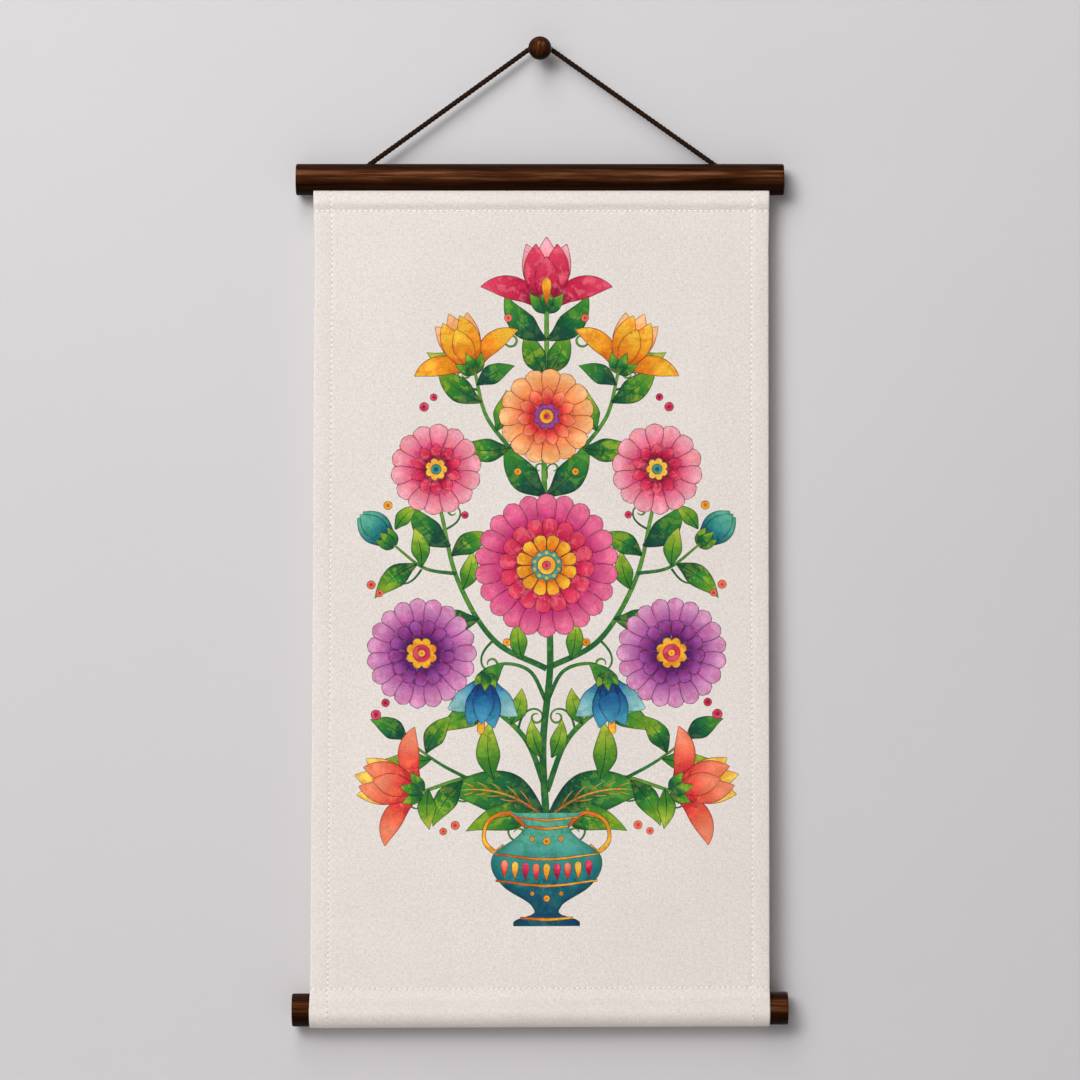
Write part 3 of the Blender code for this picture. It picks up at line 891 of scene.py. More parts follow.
def puckers(x, way):
    """Small gathers that the hem stitching pulls into the cloth beside its lines."""
    left, right = cloth_edges(-way)
    total = 0.0
    for distance, along, turn in (
        (x - left - LEFT_HEM_WIDTH, way, 0.0),
        (right - RIGHT_HEM_WIDTH - x, way, 2.0),
        (way + TOP_STITCH_HEIGHT, x, 4.0),
        (-POCKET_STITCH_HEIGHT - way, x, 1.0),
    ):
        near = np.exp(-(np.maximum(distance, 0.0) / PUCKER_REACH) ** 1.3)
        near = near * smooth_share(1.0 + distance / PUCKER_START)
        beat = 0.5 + 0.5 * np.sin(along * 47.0 + 3.0 * np.sin(along * 21.0 + turn) + turn)
        ripple = np.sin(along * 480.0 + 2.5 * np.sin(along * 90.0 + turn) + turn * 2.0)
        total = total + PUCKER_HEIGHT * near * beat * ripple
    return total


def drawn_in(distance):
    """Depth that a line of stitches draws the face in, at a distance from it."""
    return STITCH_DEPTH * np.maximum(0.0, 1.0 - np.abs(distance) / STITCH_HALF_WIDTH)


def front_relief(x, way):
    """How far the front stands out: crowned hems, a rolled top hem and drawn-in stitch lines."""
    on_front = smooth_share((way + LIP_HEIGHT) / LIP_FADE)
    on_front = on_front * smooth_share((-BOTTOM_ROD_CENTRE.z - way) / ROD_FADE)
    to_left, to_right = hem_distances(x, -way)
    relief = puckers(x, way)
    for distance, width in ((to_left, LEFT_HEM_WIDTH), (to_right, RIGHT_HEM_WIDTH)):
        crown = np.sin(math.pi * np.clip(distance / width, 0.0, 1.0))
        relief = relief + HEM_CROWN * crown
        relief = relief - drawn_in(distance - width)
    for line in (TOP_STITCH_HEIGHT, POCKET_STITCH_HEIGHT):
        relief = relief - drawn_in(way + line)
    below_lip = np.clip((LIP_HEIGHT + way) / (LIP_HEIGHT - TOP_STITCH_HEIGHT), 0.0, 1.0)
    relief = relief + TOP_HEM_CROWN * np.sin(math.pi * below_lip**1.35) ** 2
    pocket_front = POCKET_STITCH_HEIGHT - BOTTOM_ROD_CENTRE.z
    below_line = np.clip((way + POCKET_STITCH_HEIGHT) / pocket_front, 0.0, 1.0)
    relief = relief + POCKET_CROWN * np.sin(math.pi * below_line) ** 2
    return relief * on_front


def back_layer(x, way):
    """Extra thickness at the back, where the hems are turned in: none in the pocket."""
    to_left, to_right = hem_distances(x, -way)
    inside = np.maximum(LEFT_HEM_WIDTH - to_left, RIGHT_HEM_WIDTH - to_right)
    side_hem = smooth_share(0.5 + inside / HEM_STEP)
    side_hem = side_hem * smooth_share((-POCKET_STITCH_HEIGHT - way - SIDE_HEM_STOP) / SIDE_HEM_FADE)
    top_hem = smooth_share(0.5 - (way + TOP_STITCH_HEIGHT - TOP_HEM_SPARE) / HEM_STEP)
    return HEM_LAYER * np.maximum(side_hem, top_hem)


def slope_lift(x, height):
    """The bottom rod's slope, shared out up the cloth."""
    share = (TOP_STITCH_HEIGHT - height) / (TOP_STITCH_HEIGHT - POCKET_STITCH_HEIGHT)
    return x * BOTTOM_ROD_SLOPE * np.clip(share, 0.0, 1.0)


def cloth_point(route, x, way, depth):
    """World points of the cloth: depth 0 is the printed face, 1 the back, at (x, way)."""
    x, way = np.asarray(x, float), np.asarray(way, float)
    y, z, face_y, face_z = route.at(way)
    front = CLOTH_THICKNESS / 2 + front_relief(x, way)
    back = -CLOTH_THICKNESS / 2 - back_layer(x, way)
    out = front + (back - front) * depth
    y = y + face_y * out - swell(x, way)
    z = z + face_z * out
    return np.stack([x, y, z + slope_lift(x, z)], axis=-1)


class ClothMesh:
    """The cloth's one closed mesh: a printed face, a back, rounded side edges and two cut ends."""

    EDGE_ROUNDING = 0.0008
    EDGE_STEPS = 4
    PLAIN_STEP = 0.0060
    BESIDE_LINE = (0.0026, 0.0011, 0.0005)

    def __init__(self, route):
        self.route = route
        self.rod_way = -BOTTOM_ROD_CENTRE.z
        self.rows = self.row_ways()
        self.points, self.places, self.faces, self.tags = [], [], [], []

    def row_ways(self):
        """Ways of the rows down the side edges, close together at the hems and the pocket."""
        lip, top_line = -LIP_HEIGHT, -TOP_STITCH_HEIGHT
        line, rod = -POCKET_STITCH_HEIGHT, self.rod_way
        start, seam = self.route.ways[0], self.route.seam
        near = [STITCH_HALF_WIDTH * k for k in (-2, -1, 0, 1, 2)]
        ways = [start, start + 0.0030, start + 0.0060, lip]
        ways += list(np.linspace(lip, top_line + near[0], 11)[1:-1])
        ways += [top_line + step for step in near]
        ways += list(np.linspace(top_line + near[-1], line + near[0], 112)[1:-1])
        ways += [line + step for step in near]
        turned = seam + 2.1 * self.route.TURN_RADIUS
        for stop, count in ((rod, 6), (seam, 51), (turned, 6), (self.route.end, 5)):
            ways += list(np.linspace(ways[-1], stop, count + 1)[1:])
        return np.array(ways)

    def column_x(self, way):
        """X stations across the cloth at a way, close together at the hems."""
        left, right = cloth_edges(self.route.at(way)[1])
        hem_left = [left + d for d in self.hem_stations(LEFT_HEM_WIDTH)]
        hem_right = [right - d for d in reversed(self.hem_stations(RIGHT_HEM_WIDTH))]
        count = round((CLOTH_WIDTH - LEFT_HEM_WIDTH - RIGHT_HEM_WIDTH) / self.PLAIN_STEP)
        plain = np.linspace(hem_left[-1], hem_right[0], count + 1)[1:-1]
        return np.array(hem_left + list(plain) + hem_right)

    def hem_stations(self, width):
        """Distances from a side edge: over the hem, then close together about its stitch line."""
        over = [self.EDGE_ROUNDING, 0.0022, 0.0042, width * 0.45, width * 0.65]
        before = [width - d for d in self.BESIDE_LINE]
        return over + before + [width] + [width + d for d in reversed(self.BESIDE_LINE)]

    def add_points(self, x, way, depth):
        """Adds points by place and returns their numbers."""
        first = len(self.points)
        made = cloth_point(self.route, x, way, depth)
        self.points.extend(map(tuple, made))
        self.places.extend(zip(np.asarray(x, float), np.asarray(way, float)))
        return np.arange(first, first + len(made))

    def add_grid(self, rows, flip):
        """Quads between rows of point numbers."""
        for upper, lower in zip(rows, rows[1:]):
            for a, b, c, d in zip(upper, upper[1:], lower[1:], lower):
                self.add_face((a, b, c, d) if flip else (a, d, c, b))

    def build(self, printed_patch):
        """Faces all of the cloth; the print fills the face from the groove's lip to the rod's front."""
        rows = self.rows
        grid = [self.column_x(way) for way in rows]
        lip_row = int(np.argmin(np.abs(rows + LIP_HEIGHT)))
        rod_row = int(np.argmin(np.abs(rows - self.rod_way)))
        face = {}
        for k, way in enumerate(rows):
            whole = k <= lip_row or k >= rod_row
            stations = grid[k] if whole else grid[k][[0, -1]]
            face[k] = self.add_points(stations, np.full(len(stations), way), 0.0)
        back = [self.add_points(x, np.full(len(x), way), 1.0) for x, way in zip(grid, rows)]
        self.add_grid([face[k] for k in range(lip_row + 1)], False)
        self.add_grid([face[k] for k in range(rod_row, len(rows))], False)
        self.add_grid(back, True)
        ring = list(face[lip_row]) + [face[k][-1] for k in range(lip_row + 1, rod_row)]
        ring += list(face[rod_row][::-1]) + [face[k][0] for k in range(rod_row - 1, lip_row, -1)]
        printed_patch(self, ring, lip_row, rod_row)
        edges = [self.side_edge(face, back, column, sign) for column, sign in ((0, -1.0), (-1, 1.0))]
        for row, turned in ((0, False), (len(rows) - 1, True)):
            for a, b, c, d in zip(face[row], face[row][1:], back[row][1:], back[row]):
                self.add_face((a, d, c, b) if turned else (a, b, c, d))
            for strips, left in ((edges[0], True), (edges[1], False)):
                cap = [strip[row] for strip in strips]
                self.add_face(tuple(cap[::-1] if left != turned else cap))

    def add_face(self, corners, tag=-1):
        self.faces.append(tuple(int(i) for i in corners))
        self.tags.append(tag)

    def side_edge(self, face, back, column, sign):
        """Rounds the folded side edge off from the face to the back."""
        front = [face[k][column] for k in range(len(self.rows))]
        behind = [row[column] for row in back]
        f = np.array([self.points[i] for i in front])
        b = np.array([self.points[i] for i in behind])
        strips = [front]
        for step in range(1, self.EDGE_STEPS):
            angle = math.pi * step / self.EDGE_STEPS
            middle = (f + b) / 2 + (f - b) / 2 * math.cos(angle)
            middle[:, 0] += sign * self.EDGE_ROUNDING * math.sin(angle)
            first = len(self.points)
            self.points.extend(map(tuple, middle))
            x = f[:, 0] + sign * 2.0 * self.EDGE_ROUNDING * step / self.EDGE_STEPS
            self.places.extend(zip(x, self.rows))
            strips.append(list(range(first, first + len(middle))))
        strips.append(behind)
        for near, far in zip(strips, strips[1:]):
            for k in range(len(self.rows) - 1):
                quad = (near[k], near[k + 1], far[k + 1], far[k])
                self.add_face(quad if sign > 0 else quad[::-1])
        return strips


# The print: a made-up bouquet in a vase, drawn as painted shapes

# Plan of the print in millimetres: X from the middle, Y up from the vase's foot.
PRINT_MIDDLE = 0.0055
PRINT_FOOT = -0.7310

INK_WIDTH = 0.50
STEM_INK_WIDTH = 0.34
TENDRIL_INK_WIDTH = 0.26
STATION = 1.90
FINE_STATION = 1.1

PAINTS = {
    # name: base, middle, tip and the second pigment that shows in patches, as sRGB colours
    "leaf": ((6, 84, 48), (34, 128, 46), (110, 166, 36), (160, 188, 44)),
    "deep leaf": ((4, 68, 58), (10, 104, 58), (58, 142, 46), (104, 164, 50)),
    "young leaf": ((40, 120, 40), (108, 166, 40), (178, 196, 62), (76, 146, 42)),
    "stem": ((20, 100, 48), (44, 126, 48), (88, 152, 48), (112, 164, 56)),
    "crimson": ((128, 6, 54), (198, 18, 72), (228, 62, 100), (236, 110, 130)),
    "magenta": ((134, 12, 92), (198, 36, 116), (236, 118, 160), (222, 76, 140)),
    "pink": ((200, 36, 100), (232, 104, 146), (248, 176, 194), (238, 134, 136)),
    "lilac": ((112, 34, 122), (178, 92, 172), (222, 160, 206), (206, 104, 168)),
    "purple": ((70, 16, 98), (116, 38, 132), (164, 84, 166), (146, 36, 116)),
    "coral": ((196, 24, 48), (232, 72, 62), (246, 146, 112), (244, 118, 72)),
    "peach": ((222, 76, 50), (246, 140, 88), (252, 196, 138), (248, 160, 74)),
    "gold": ((206, 96, 8), (238, 152, 20), (250, 198, 58), (232, 116, 22)),
    "yellow": ((230, 124, 14), (248, 180, 34), (252, 218, 96), (244, 156, 36)),
    "teal": ((2, 70, 104), (14, 124, 142), (92, 180, 160), (42, 148, 104)),
    "blue": ((4, 38, 108), (8, 82, 154), (64, 152, 192), (18, 122, 156)),
    "sky": ((16, 96, 158), (74, 156, 194), (150, 202, 206), (88, 172, 166)),
    "ochre": ((164, 108, 24), (206, 156, 52), (230, 190, 84), (216, 164, 60)),
    "vein": ((14, 66, 34), (18, 78, 36), (40, 104, 40), (14, 66, 34)),
}
INKS = {
    "green": (12, 48, 28),
    "plum": (78, 14, 56),
    "blue": (8, 28, 66),
    "brown": (104, 52, 18),
    "red": (120, 20, 30),
}


def plan_line(points, spacing=STATION):
    """A smooth line through a few points of the plan, as stations a spacing apart."""
    p = np.array(points, float)
    ends = np.vstack([2 * p[0] - p[1], p, 2 * p[-1] - p[-2]])
    fine = []
    for a, b, c, d in zip(ends, ends[1:], ends[2:], ends[3:]):
        for t in np.linspace(0.0, 1.0, 24, endpoint=False):
            fine.append(0.5 * (2 * b + (c - a) * t + (2 * a - 5 * b + 4 * c - d) * t**2
                               + (3 * b - a - 3 * c + d) * t**3))
    return even_stations(np.array(fine + [p[-1]]), spacing)


def even_stations(line, spacing):
    travelled = np.concatenate([[0.0], np.cumsum(np.hypot(*np.diff(line, axis=0).T))])
    count = max(5, round(travelled[-1] / spacing) + 1)
    at = np.linspace(0.0, travelled[-1], count)
    return np.stack([np.interp(at, travelled, line[:, k]) for k in (0, 1)], axis=1)


def stepped_line(x, y, turn, step):
    """A line of equal steps from a point, one for each heading in radians."""
    line = np.array([[x, y]] * (len(turn) + 1), float)
    line[1:, 0] += np.cumsum(np.cos(turn)) * step
    line[1:, 1] += np.cumsum(np.sin(turn)) * step
    return line


def bent_line(x, y, heading, length, bend=0.0, spacing=STATION):
    """A line from a point in a heading (degrees, 0 to the right) that turns evenly by the bend."""
    steps = 40
    turn = np.radians(heading + bend * (np.arange(steps) + 0.5) / steps)
    return even_stations(stepped_line(x, y, turn, length / steps), spacing)


def curl_line(x, y, heading, length, bend):
    """A tendril's line: its turning grows along it until it rolls up."""
    steps = 90
    share = (np.arange(steps) + 0.5) / steps
    turn = np.radians(heading + bend * share**2.2)
    return even_stations(stepped_line(x, y, turn, length / steps), FINE_STATION)


# Half widths along a shape, as shares of its widest: (share of the length, share of the width).
LEAF_FORM = ((0.0, 0.10), (0.12, 0.42), (0.38, 1.0), (0.62, 0.84), (0.85, 0.36), (1.0, 0.0))
PETAL_FORM = ((0.0, 0.32), (0.3, 0.74), (0.55, 1.0), (0.75, 0.82), (0.9, 0.42), (1.0, 0.05))
ROUND_PETAL_FORM = ((0.0, 0.42), (0.4, 0.74), (0.72, 1.0), (0.88, 0.90), (0.97, 0.50), (1.0, 0.14))
POINTED_FORM = ((0.0, 0.55), (0.3, 1.0), (0.6, 0.78), (0.85, 0.30), (1.0, 0.0))
STEM_FORM = ((0.0, 1.0), (1.0, 0.62))
VEIN_FORM = ((0.0, 1.0), (0.7, 0.62), (1.0, 0.05))
TENDRIL_FORM = ((0.0, 1.0), (0.6, 0.72), (0.9, 0.8), (1.0, 0.3))
DROP_FORM = ((0.0, 0.0), (0.2, 0.4), (0.55, 0.9), (0.78, 1.0), (0.94, 0.6), (1.0, 0.0))
BAND_FORM = ((0.0, 0.7), (0.5, 1.0), (1.0, 0.7))
VASE_FORM = (
    (0.0, 0.60), (0.05, 0.58), (0.11, 0.24), (0.17, 0.26), (0.34, 0.76), (0.52, 1.0),
    (0.64, 0.96), (0.80, 0.52), (0.88, 0.40), (0.94, 0.46), (1.0, 0.66),
)


def soft_curve(shares, at, size):
    """Smooth curve through the given sizes (cubic pieces with shared tangents)."""
    lean = np.gradient(size, at)
    k = np.clip(np.searchsorted(at, shares, side="right") - 1, 0, len(at) - 2)
    gap = at[k + 1] - at[k]
    t = (shares - at[k]) / gap
    rest = 1.0 - t
    value = (1.0 + 2.0 * t) * rest**2 * size[k] + t * rest**2 * gap * lean[k]
    value = value + t**2 * (3.0 - 2.0 * t) * size[k + 1] - t**2 * rest * gap * lean[k + 1]
    return np.maximum(value, 0.0)


class Ribbon:
    """A painted shape about a line: petal, leaf, stem or vein."""

    # Smallest gap between outline points, and half widths from which there are points inside.
    LEAST_GAP = 0.12
    MIDDLE_POINTS_FROM = 1.3
    SIDE_POINTS_FROM = 3.0
    SIDE_POINTS_AT = 0.62

    def __init__(self, line, half, form, paint, ink, ink_width=INK_WIDTH):
        self.line = np.array(line, float)
        self.share = np.linspace(0.0, 1.0, len(self.line))
        at, size = np.array(form).T
        self.half = half * soft_curve(self.share, at, size)
        if size[-1] == 0.0:
            self.half[-1] = 0.0
        if size[0] == 0.0:
            self.half[0] = 0.0
        self.paint, self.ink, self.ink_width = paint, ink, ink_width

    def mirrored(self):
        other = copy.copy(self)
        other.line = self.line * (-1.0, 1.0)
        return other

    def directions(self):
        """Unit vectors ahead and to the left at every station."""
        ahead = np.gradient(self.line, axis=0)
        ahead /= np.hypot(*ahead.T)[:, None] + 1e-9
        return ahead, np.stack([-ahead[:, 1], ahead[:, 0]], axis=1)

    def sides(self, narrower):
        """Left and right outline points with the half widths narrowed, tips pulled in too."""
        ahead, out = self.directions()
        half = self.half - narrower
        line = self.line.copy()
        if narrower:
            kept = np.flatnonzero(half > 0.02)
            if len(kept) < 2:
                return None
            first, last = kept[0], kept[-1]
            if last < len(line) - 1:
                share = half[last] / (half[last] - half[last + 1])
                line[last + 1] = line[last] + (line[last + 1] - line[last]) * share
                last += 1
            elif half[last] < 0.3 * half.max():
                line[last] -= ahead[last] * narrower
            if first > 0:
                share = half[first] / (half[first] - half[first - 1])
                line[first - 1] = line[first] + (line[first - 1] - line[first]) * share
                first -= 1
            line, out, half = line[first:last + 1], out[first:last + 1], half[first:last + 1]
        half = np.maximum(half, 0.0)[:, None]
        return line + out * half, line - out * half

    def outline(self, narrower=0.0):
        sides = self.sides(narrower)
        if sides is None:
            return None
        left, right = sides
        ring = list(map(tuple, right)) + list(map(tuple, left[::-1]))
        clean = [ring[0]]
        for point in ring[1:]:
            if math.dist(point, clean[-1]) > self.LEAST_GAP:
                clean.append(point)
        if math.dist(clean[0], clean[-1]) <= self.LEAST_GAP:
            clean.pop()
        return clean if len(clean) > 2 else None

    def inner_points(self):
        """Every second station, on the line and beside it where the shape is wide."""
        points = []
        _, out = self.directions()
        lanes = ((0.0, 0), (self.SIDE_POINTS_AT, 1), (-self.SIDE_POINTS_AT, 1))
        for share, first in lanes if self.half.max() > self.SIDE_POINTS_FROM else lanes[:1]:
            offset = self.line + out * (self.half * share)[:, None]
            roomy = self.half[first::2] > self.MIDDLE_POINTS_FROM
            points += list(map(tuple, offset[first::2][roomy]))
        return points

    def measure(self, points):
        """Share along the shape and share of the way from its line to its outline."""
        gap = points[:, None, :] - self.line[None, :, :]
        far = np.hypot(gap[..., 0], gap[..., 1])
        nearest = np.argmin(far, axis=1)
        rows = np.arange(len(points))
        edge = far[rows, nearest] / np.maximum(self.half[nearest], 0.3)
        return self.share[nearest], np.clip(edge, 0.0, 1.0)


class Blob(Ribbon):
    """A painted shape round a point, scalloped if it has lobes."""

    RING_FROM = 1.6

    def __init__(self, x, y, radius, paint, ink, lobes=0, depth=0.0):
        count = max(14, round(2.0 * math.pi * radius / STATION), lobes * 6)
        self.angles = np.linspace(0.0, 2.0 * math.pi, count, endpoint=False)
        wave = np.abs(np.sin(lobes * self.angles / 2.0)) ** 0.7
        self.radii = radius * (1.0 - depth + depth * wave)
        self.centre = np.array((x, y), float)
        self.flip = 1.0
        self.paint, self.ink, self.ink_width = paint, ink, INK_WIDTH

    def mirrored(self):
        other = copy.copy(self)
        other.centre = self.centre * (-1.0, 1.0)
        other.flip = -1.0
        return other

    def ring(self, radii):
        x = self.centre[0] + self.flip * radii * np.cos(self.angles)
        y = self.centre[1] + radii * np.sin(self.angles)
        return list(zip(x, y))

    def outline(self, narrower=0.0):
        radii = self.radii - narrower
        return self.ring(radii) if radii.min() > 0.3 else None

    def inner_points(self):
        middle = [tuple(self.centre)]
        if self.radii.min() < self.RING_FROM:
            return middle
        return self.ring(self.radii * self.SIDE_POINTS_AT) + middle

    def measure(self, points):
        gap = points - self.centre
        gap[:, 0] *= self.flip
        angle = np.mod(np.arctan2(gap[:, 1], gap[:, 0]), 2.0 * math.pi)
        size = np.interp(angle, self.angles, self.radii, period=2.0 * math.pi)
        edge = np.clip(np.hypot(*gap.T) / size, 0.0, 1.0)
        return edge, edge


def leaf(x, y, heading, length, half, bend, paint, veins=0):
    """A leaf with its midrib and, on a big one, gold side veins."""
    line = bent_line(x, y, heading, length, bend)
    shapes = [Ribbon(line, half, LEAF_FORM, paint, "green")]
    rib = line[: max(3, int(len(line) * 0.86))]
    if not veins:
        return shapes + [Ribbon(rib, 0.42, VEIN_FORM, "vein", None)]
    for k in range(veins):
        share = 0.16 + 0.52 * k / (veins - 1)
        at = int(share * (len(line) - 1))
        ahead = line[at + 1] - line[at]
        way = math.degrees(math.atan2(ahead[1], ahead[0]))
        reach = half * (1.05 - 0.45 * share)
        for side in (-1, 1):
            vein = bent_line(*line[at], way + side * 34, reach, -side * 26, 1.6)
            shapes.append(Ribbon(vein, 0.62, VEIN_FORM, "ochre", None))
    return shapes + [Ribbon(rib, 0.95, VEIN_FORM, "ochre", None)]


def petals(x, y, count, inner, outer, half, paint, ink, form, turn):
    """Petals round a point, every second one first so that their overlaps alternate."""
    shapes = []
    for k in list(range(0, count, 2)) + list(range(1, count, 2)):
        way = math.radians(turn + 360.0 / count * (k + 0.5))
        start = (x + inner * math.cos(way), y + inner * math.sin(way))
        line = bent_line(*start, math.degrees(way), outer - inner)
        shapes.append(Ribbon(line, half, form, paint, ink))
    return shapes


def rosette(x, y, rings, heart):
    """A round flower: rings of petals from the outside in, then its heart of blobs."""
    shapes = []
    for ring in rings:
        _, inner, outer, _, paint, *_ = ring
        shapes.append(Blob(x, y, inner + (outer - inner) * 0.34, paint, None))
        shapes += petals(x, y, *ring)
    return shapes + [Blob(x, y, *row) for row in heart]


def beads(x, y, radius, count, size, paint, turn):
    """Small dots round a point."""
    shapes = []
    for k in range(count):
        way = math.radians(turn + 360.0 * k / count)
        shapes.append(Blob(x + radius * math.cos(way), y + radius * math.sin(way), size, paint, None))
    return shapes


def green_cup(x, y, heading, leans, length, turn, half):
    """Small pointed leaves that hold a flower, bending back by a share of their lean."""
    shapes = []
    for lean in leans:
        line = bent_line(x, y, heading + lean, length, -lean * turn, FINE_STATION)
        shapes.append(Ribbon(line, half, POINTED_FORM, "leaf", "green"))
    return shapes


def fan(x, y, heading, size, ink, rows):
    """Petals from one point, back ones first: lean, length, half width, bend and paint of each."""
    shapes = []
    for lean, length, half, bend, paint in rows:
        line = bent_line(x, y, heading + lean, size * length, bend)
        shapes.append(Ribbon(line, size * half, PETAL_FORM, paint, ink))
    return shapes


def tulip(x, y, heading, size, outer, inner):
    """A flower seen from its side: back petals, front petals and a green cup."""
    shapes = fan(x, y, heading, size, "red", (
        (-13, 1.0, 0.19, -8, inner), (13, 1.0, 0.19, 8, inner), (0, 1.06, 0.19, 0, inner),
        (-38, 1.06, 0.17, -64, outer), (38, 1.06, 0.17, 64, outer),
        (-22, 0.98, 0.19, 26, outer), (22, 0.98, 0.19, -26, outer), (0, 0.78, 0.18, 0, outer),
    ))
    return shapes + green_cup(x, y, heading, (-58, 58, 0), size * 0.36, 0.5, size * 0.10)


def bell(x, y, heading, size, outer, inner, trim):
    """A hanging bell flower with a curled rim and a gold clapper."""
    way = math.radians(heading)
    ahead = np.array((math.cos(way), math.sin(way)))
    start = np.array((x, y)) + ahead * size * 0.62
    tongue = bent_line(*start, heading, size * 0.52, spacing=FINE_STATION)
    shapes = [Ribbon(tongue, size * 0.075, DROP_FORM, trim, "brown")]
    shapes += fan(x, y, heading, size, "blue", (
        (-20, 1.0, 0.23, -46, inner), (20, 1.0, 0.23, 46, inner),
        (-9, 1.02, 0.22, -10, outer), (9, 1.02, 0.22, 10, outer), (0, 0.94, 0.21, 0, outer),
    ))
    return shapes + green_cup(x, y, heading, (-62, 62, 0), size * 0.32, 0.7, size * 0.10)


def bud(x, y, heading, size, paint, ink):
    """A closed flower of three petals in its cup."""
    rows = ((-15, 1.0, 0.26, 19.5, paint), (15, 1.0, 0.26, -19.5, paint), (0, 1.0, 0.25, 0, paint))
    petals = fan(x, y, heading, size, ink, rows)
    return petals + green_cup(x, y, heading, (-46, 46, 0), size * 0.44, 0.9, size * 0.12)


def stem(half, *points):
    return Ribbon(plan_line(points), half, STEM_FORM, "stem", "green", STEM_INK_WIDTH)


def tendril(x, y, heading, length, bend, half):
    line = curl_line(x, y, heading, length, bend)
    return Ribbon(line, half, TENDRIL_FORM, "stem", "green", TENDRIL_INK_WIDTH)


def both_sides(shapes):
    return shapes + [shape.mirrored() for shape in shapes]


def vase():
    """A footed vase with gold bands, a row of drops and two curled handles."""
    curl = plan_line([(17, 83), (31, 94), (48, 88), (52, 72), (43, 62), (36, 68)], 1.2)
    shapes = both_sides([Ribbon(curl, 2.3, TENDRIL_FORM, "gold", "brown")])
    shapes.append(Ribbon(plan_line([(0, 0), (0, 46), (0, 94)]), 46, VASE_FORM, "teal", "blue"))
    for height, reach, dip, half in (
        (7, 22, 1.5, 1.5), (38, 42.5, 4.5, 1.3), (60, 42.8, 4.5, 1.3), (83, 17.5, 2.0, 1.4),
        (90.5, 25, 2.4, 1.2),
    ):
        line = plan_line([(-reach, height), (0, height - dip), (reach, height)])
        shapes.append(Ribbon(line, half, BAND_FORM, "gold", "brown"))
    for k in range(9):
        across = -35 + 70 * k / 8
        foot = 38.0 - 4.2 * (1.0 - (across / 41) ** 2) + 3.0
        paint = ("coral", "yellow", "crimson")[k % 3]
        shapes.append(Ribbon(bent_line(across, foot, 90, 15.5, 0, 1.0), 3.1, DROP_FORM, paint, "red"))
    for across, height, size in (
        (0, 70.5, 3.4), (-12, 72.5, 2.3), (12, 72.5, 2.3), (0, 23, 3.0), (-12, 27, 2.0), (12, 27, 2.0),
    ):
        shapes.append(Blob(across, height, size, "gold", "brown"))
    return shapes


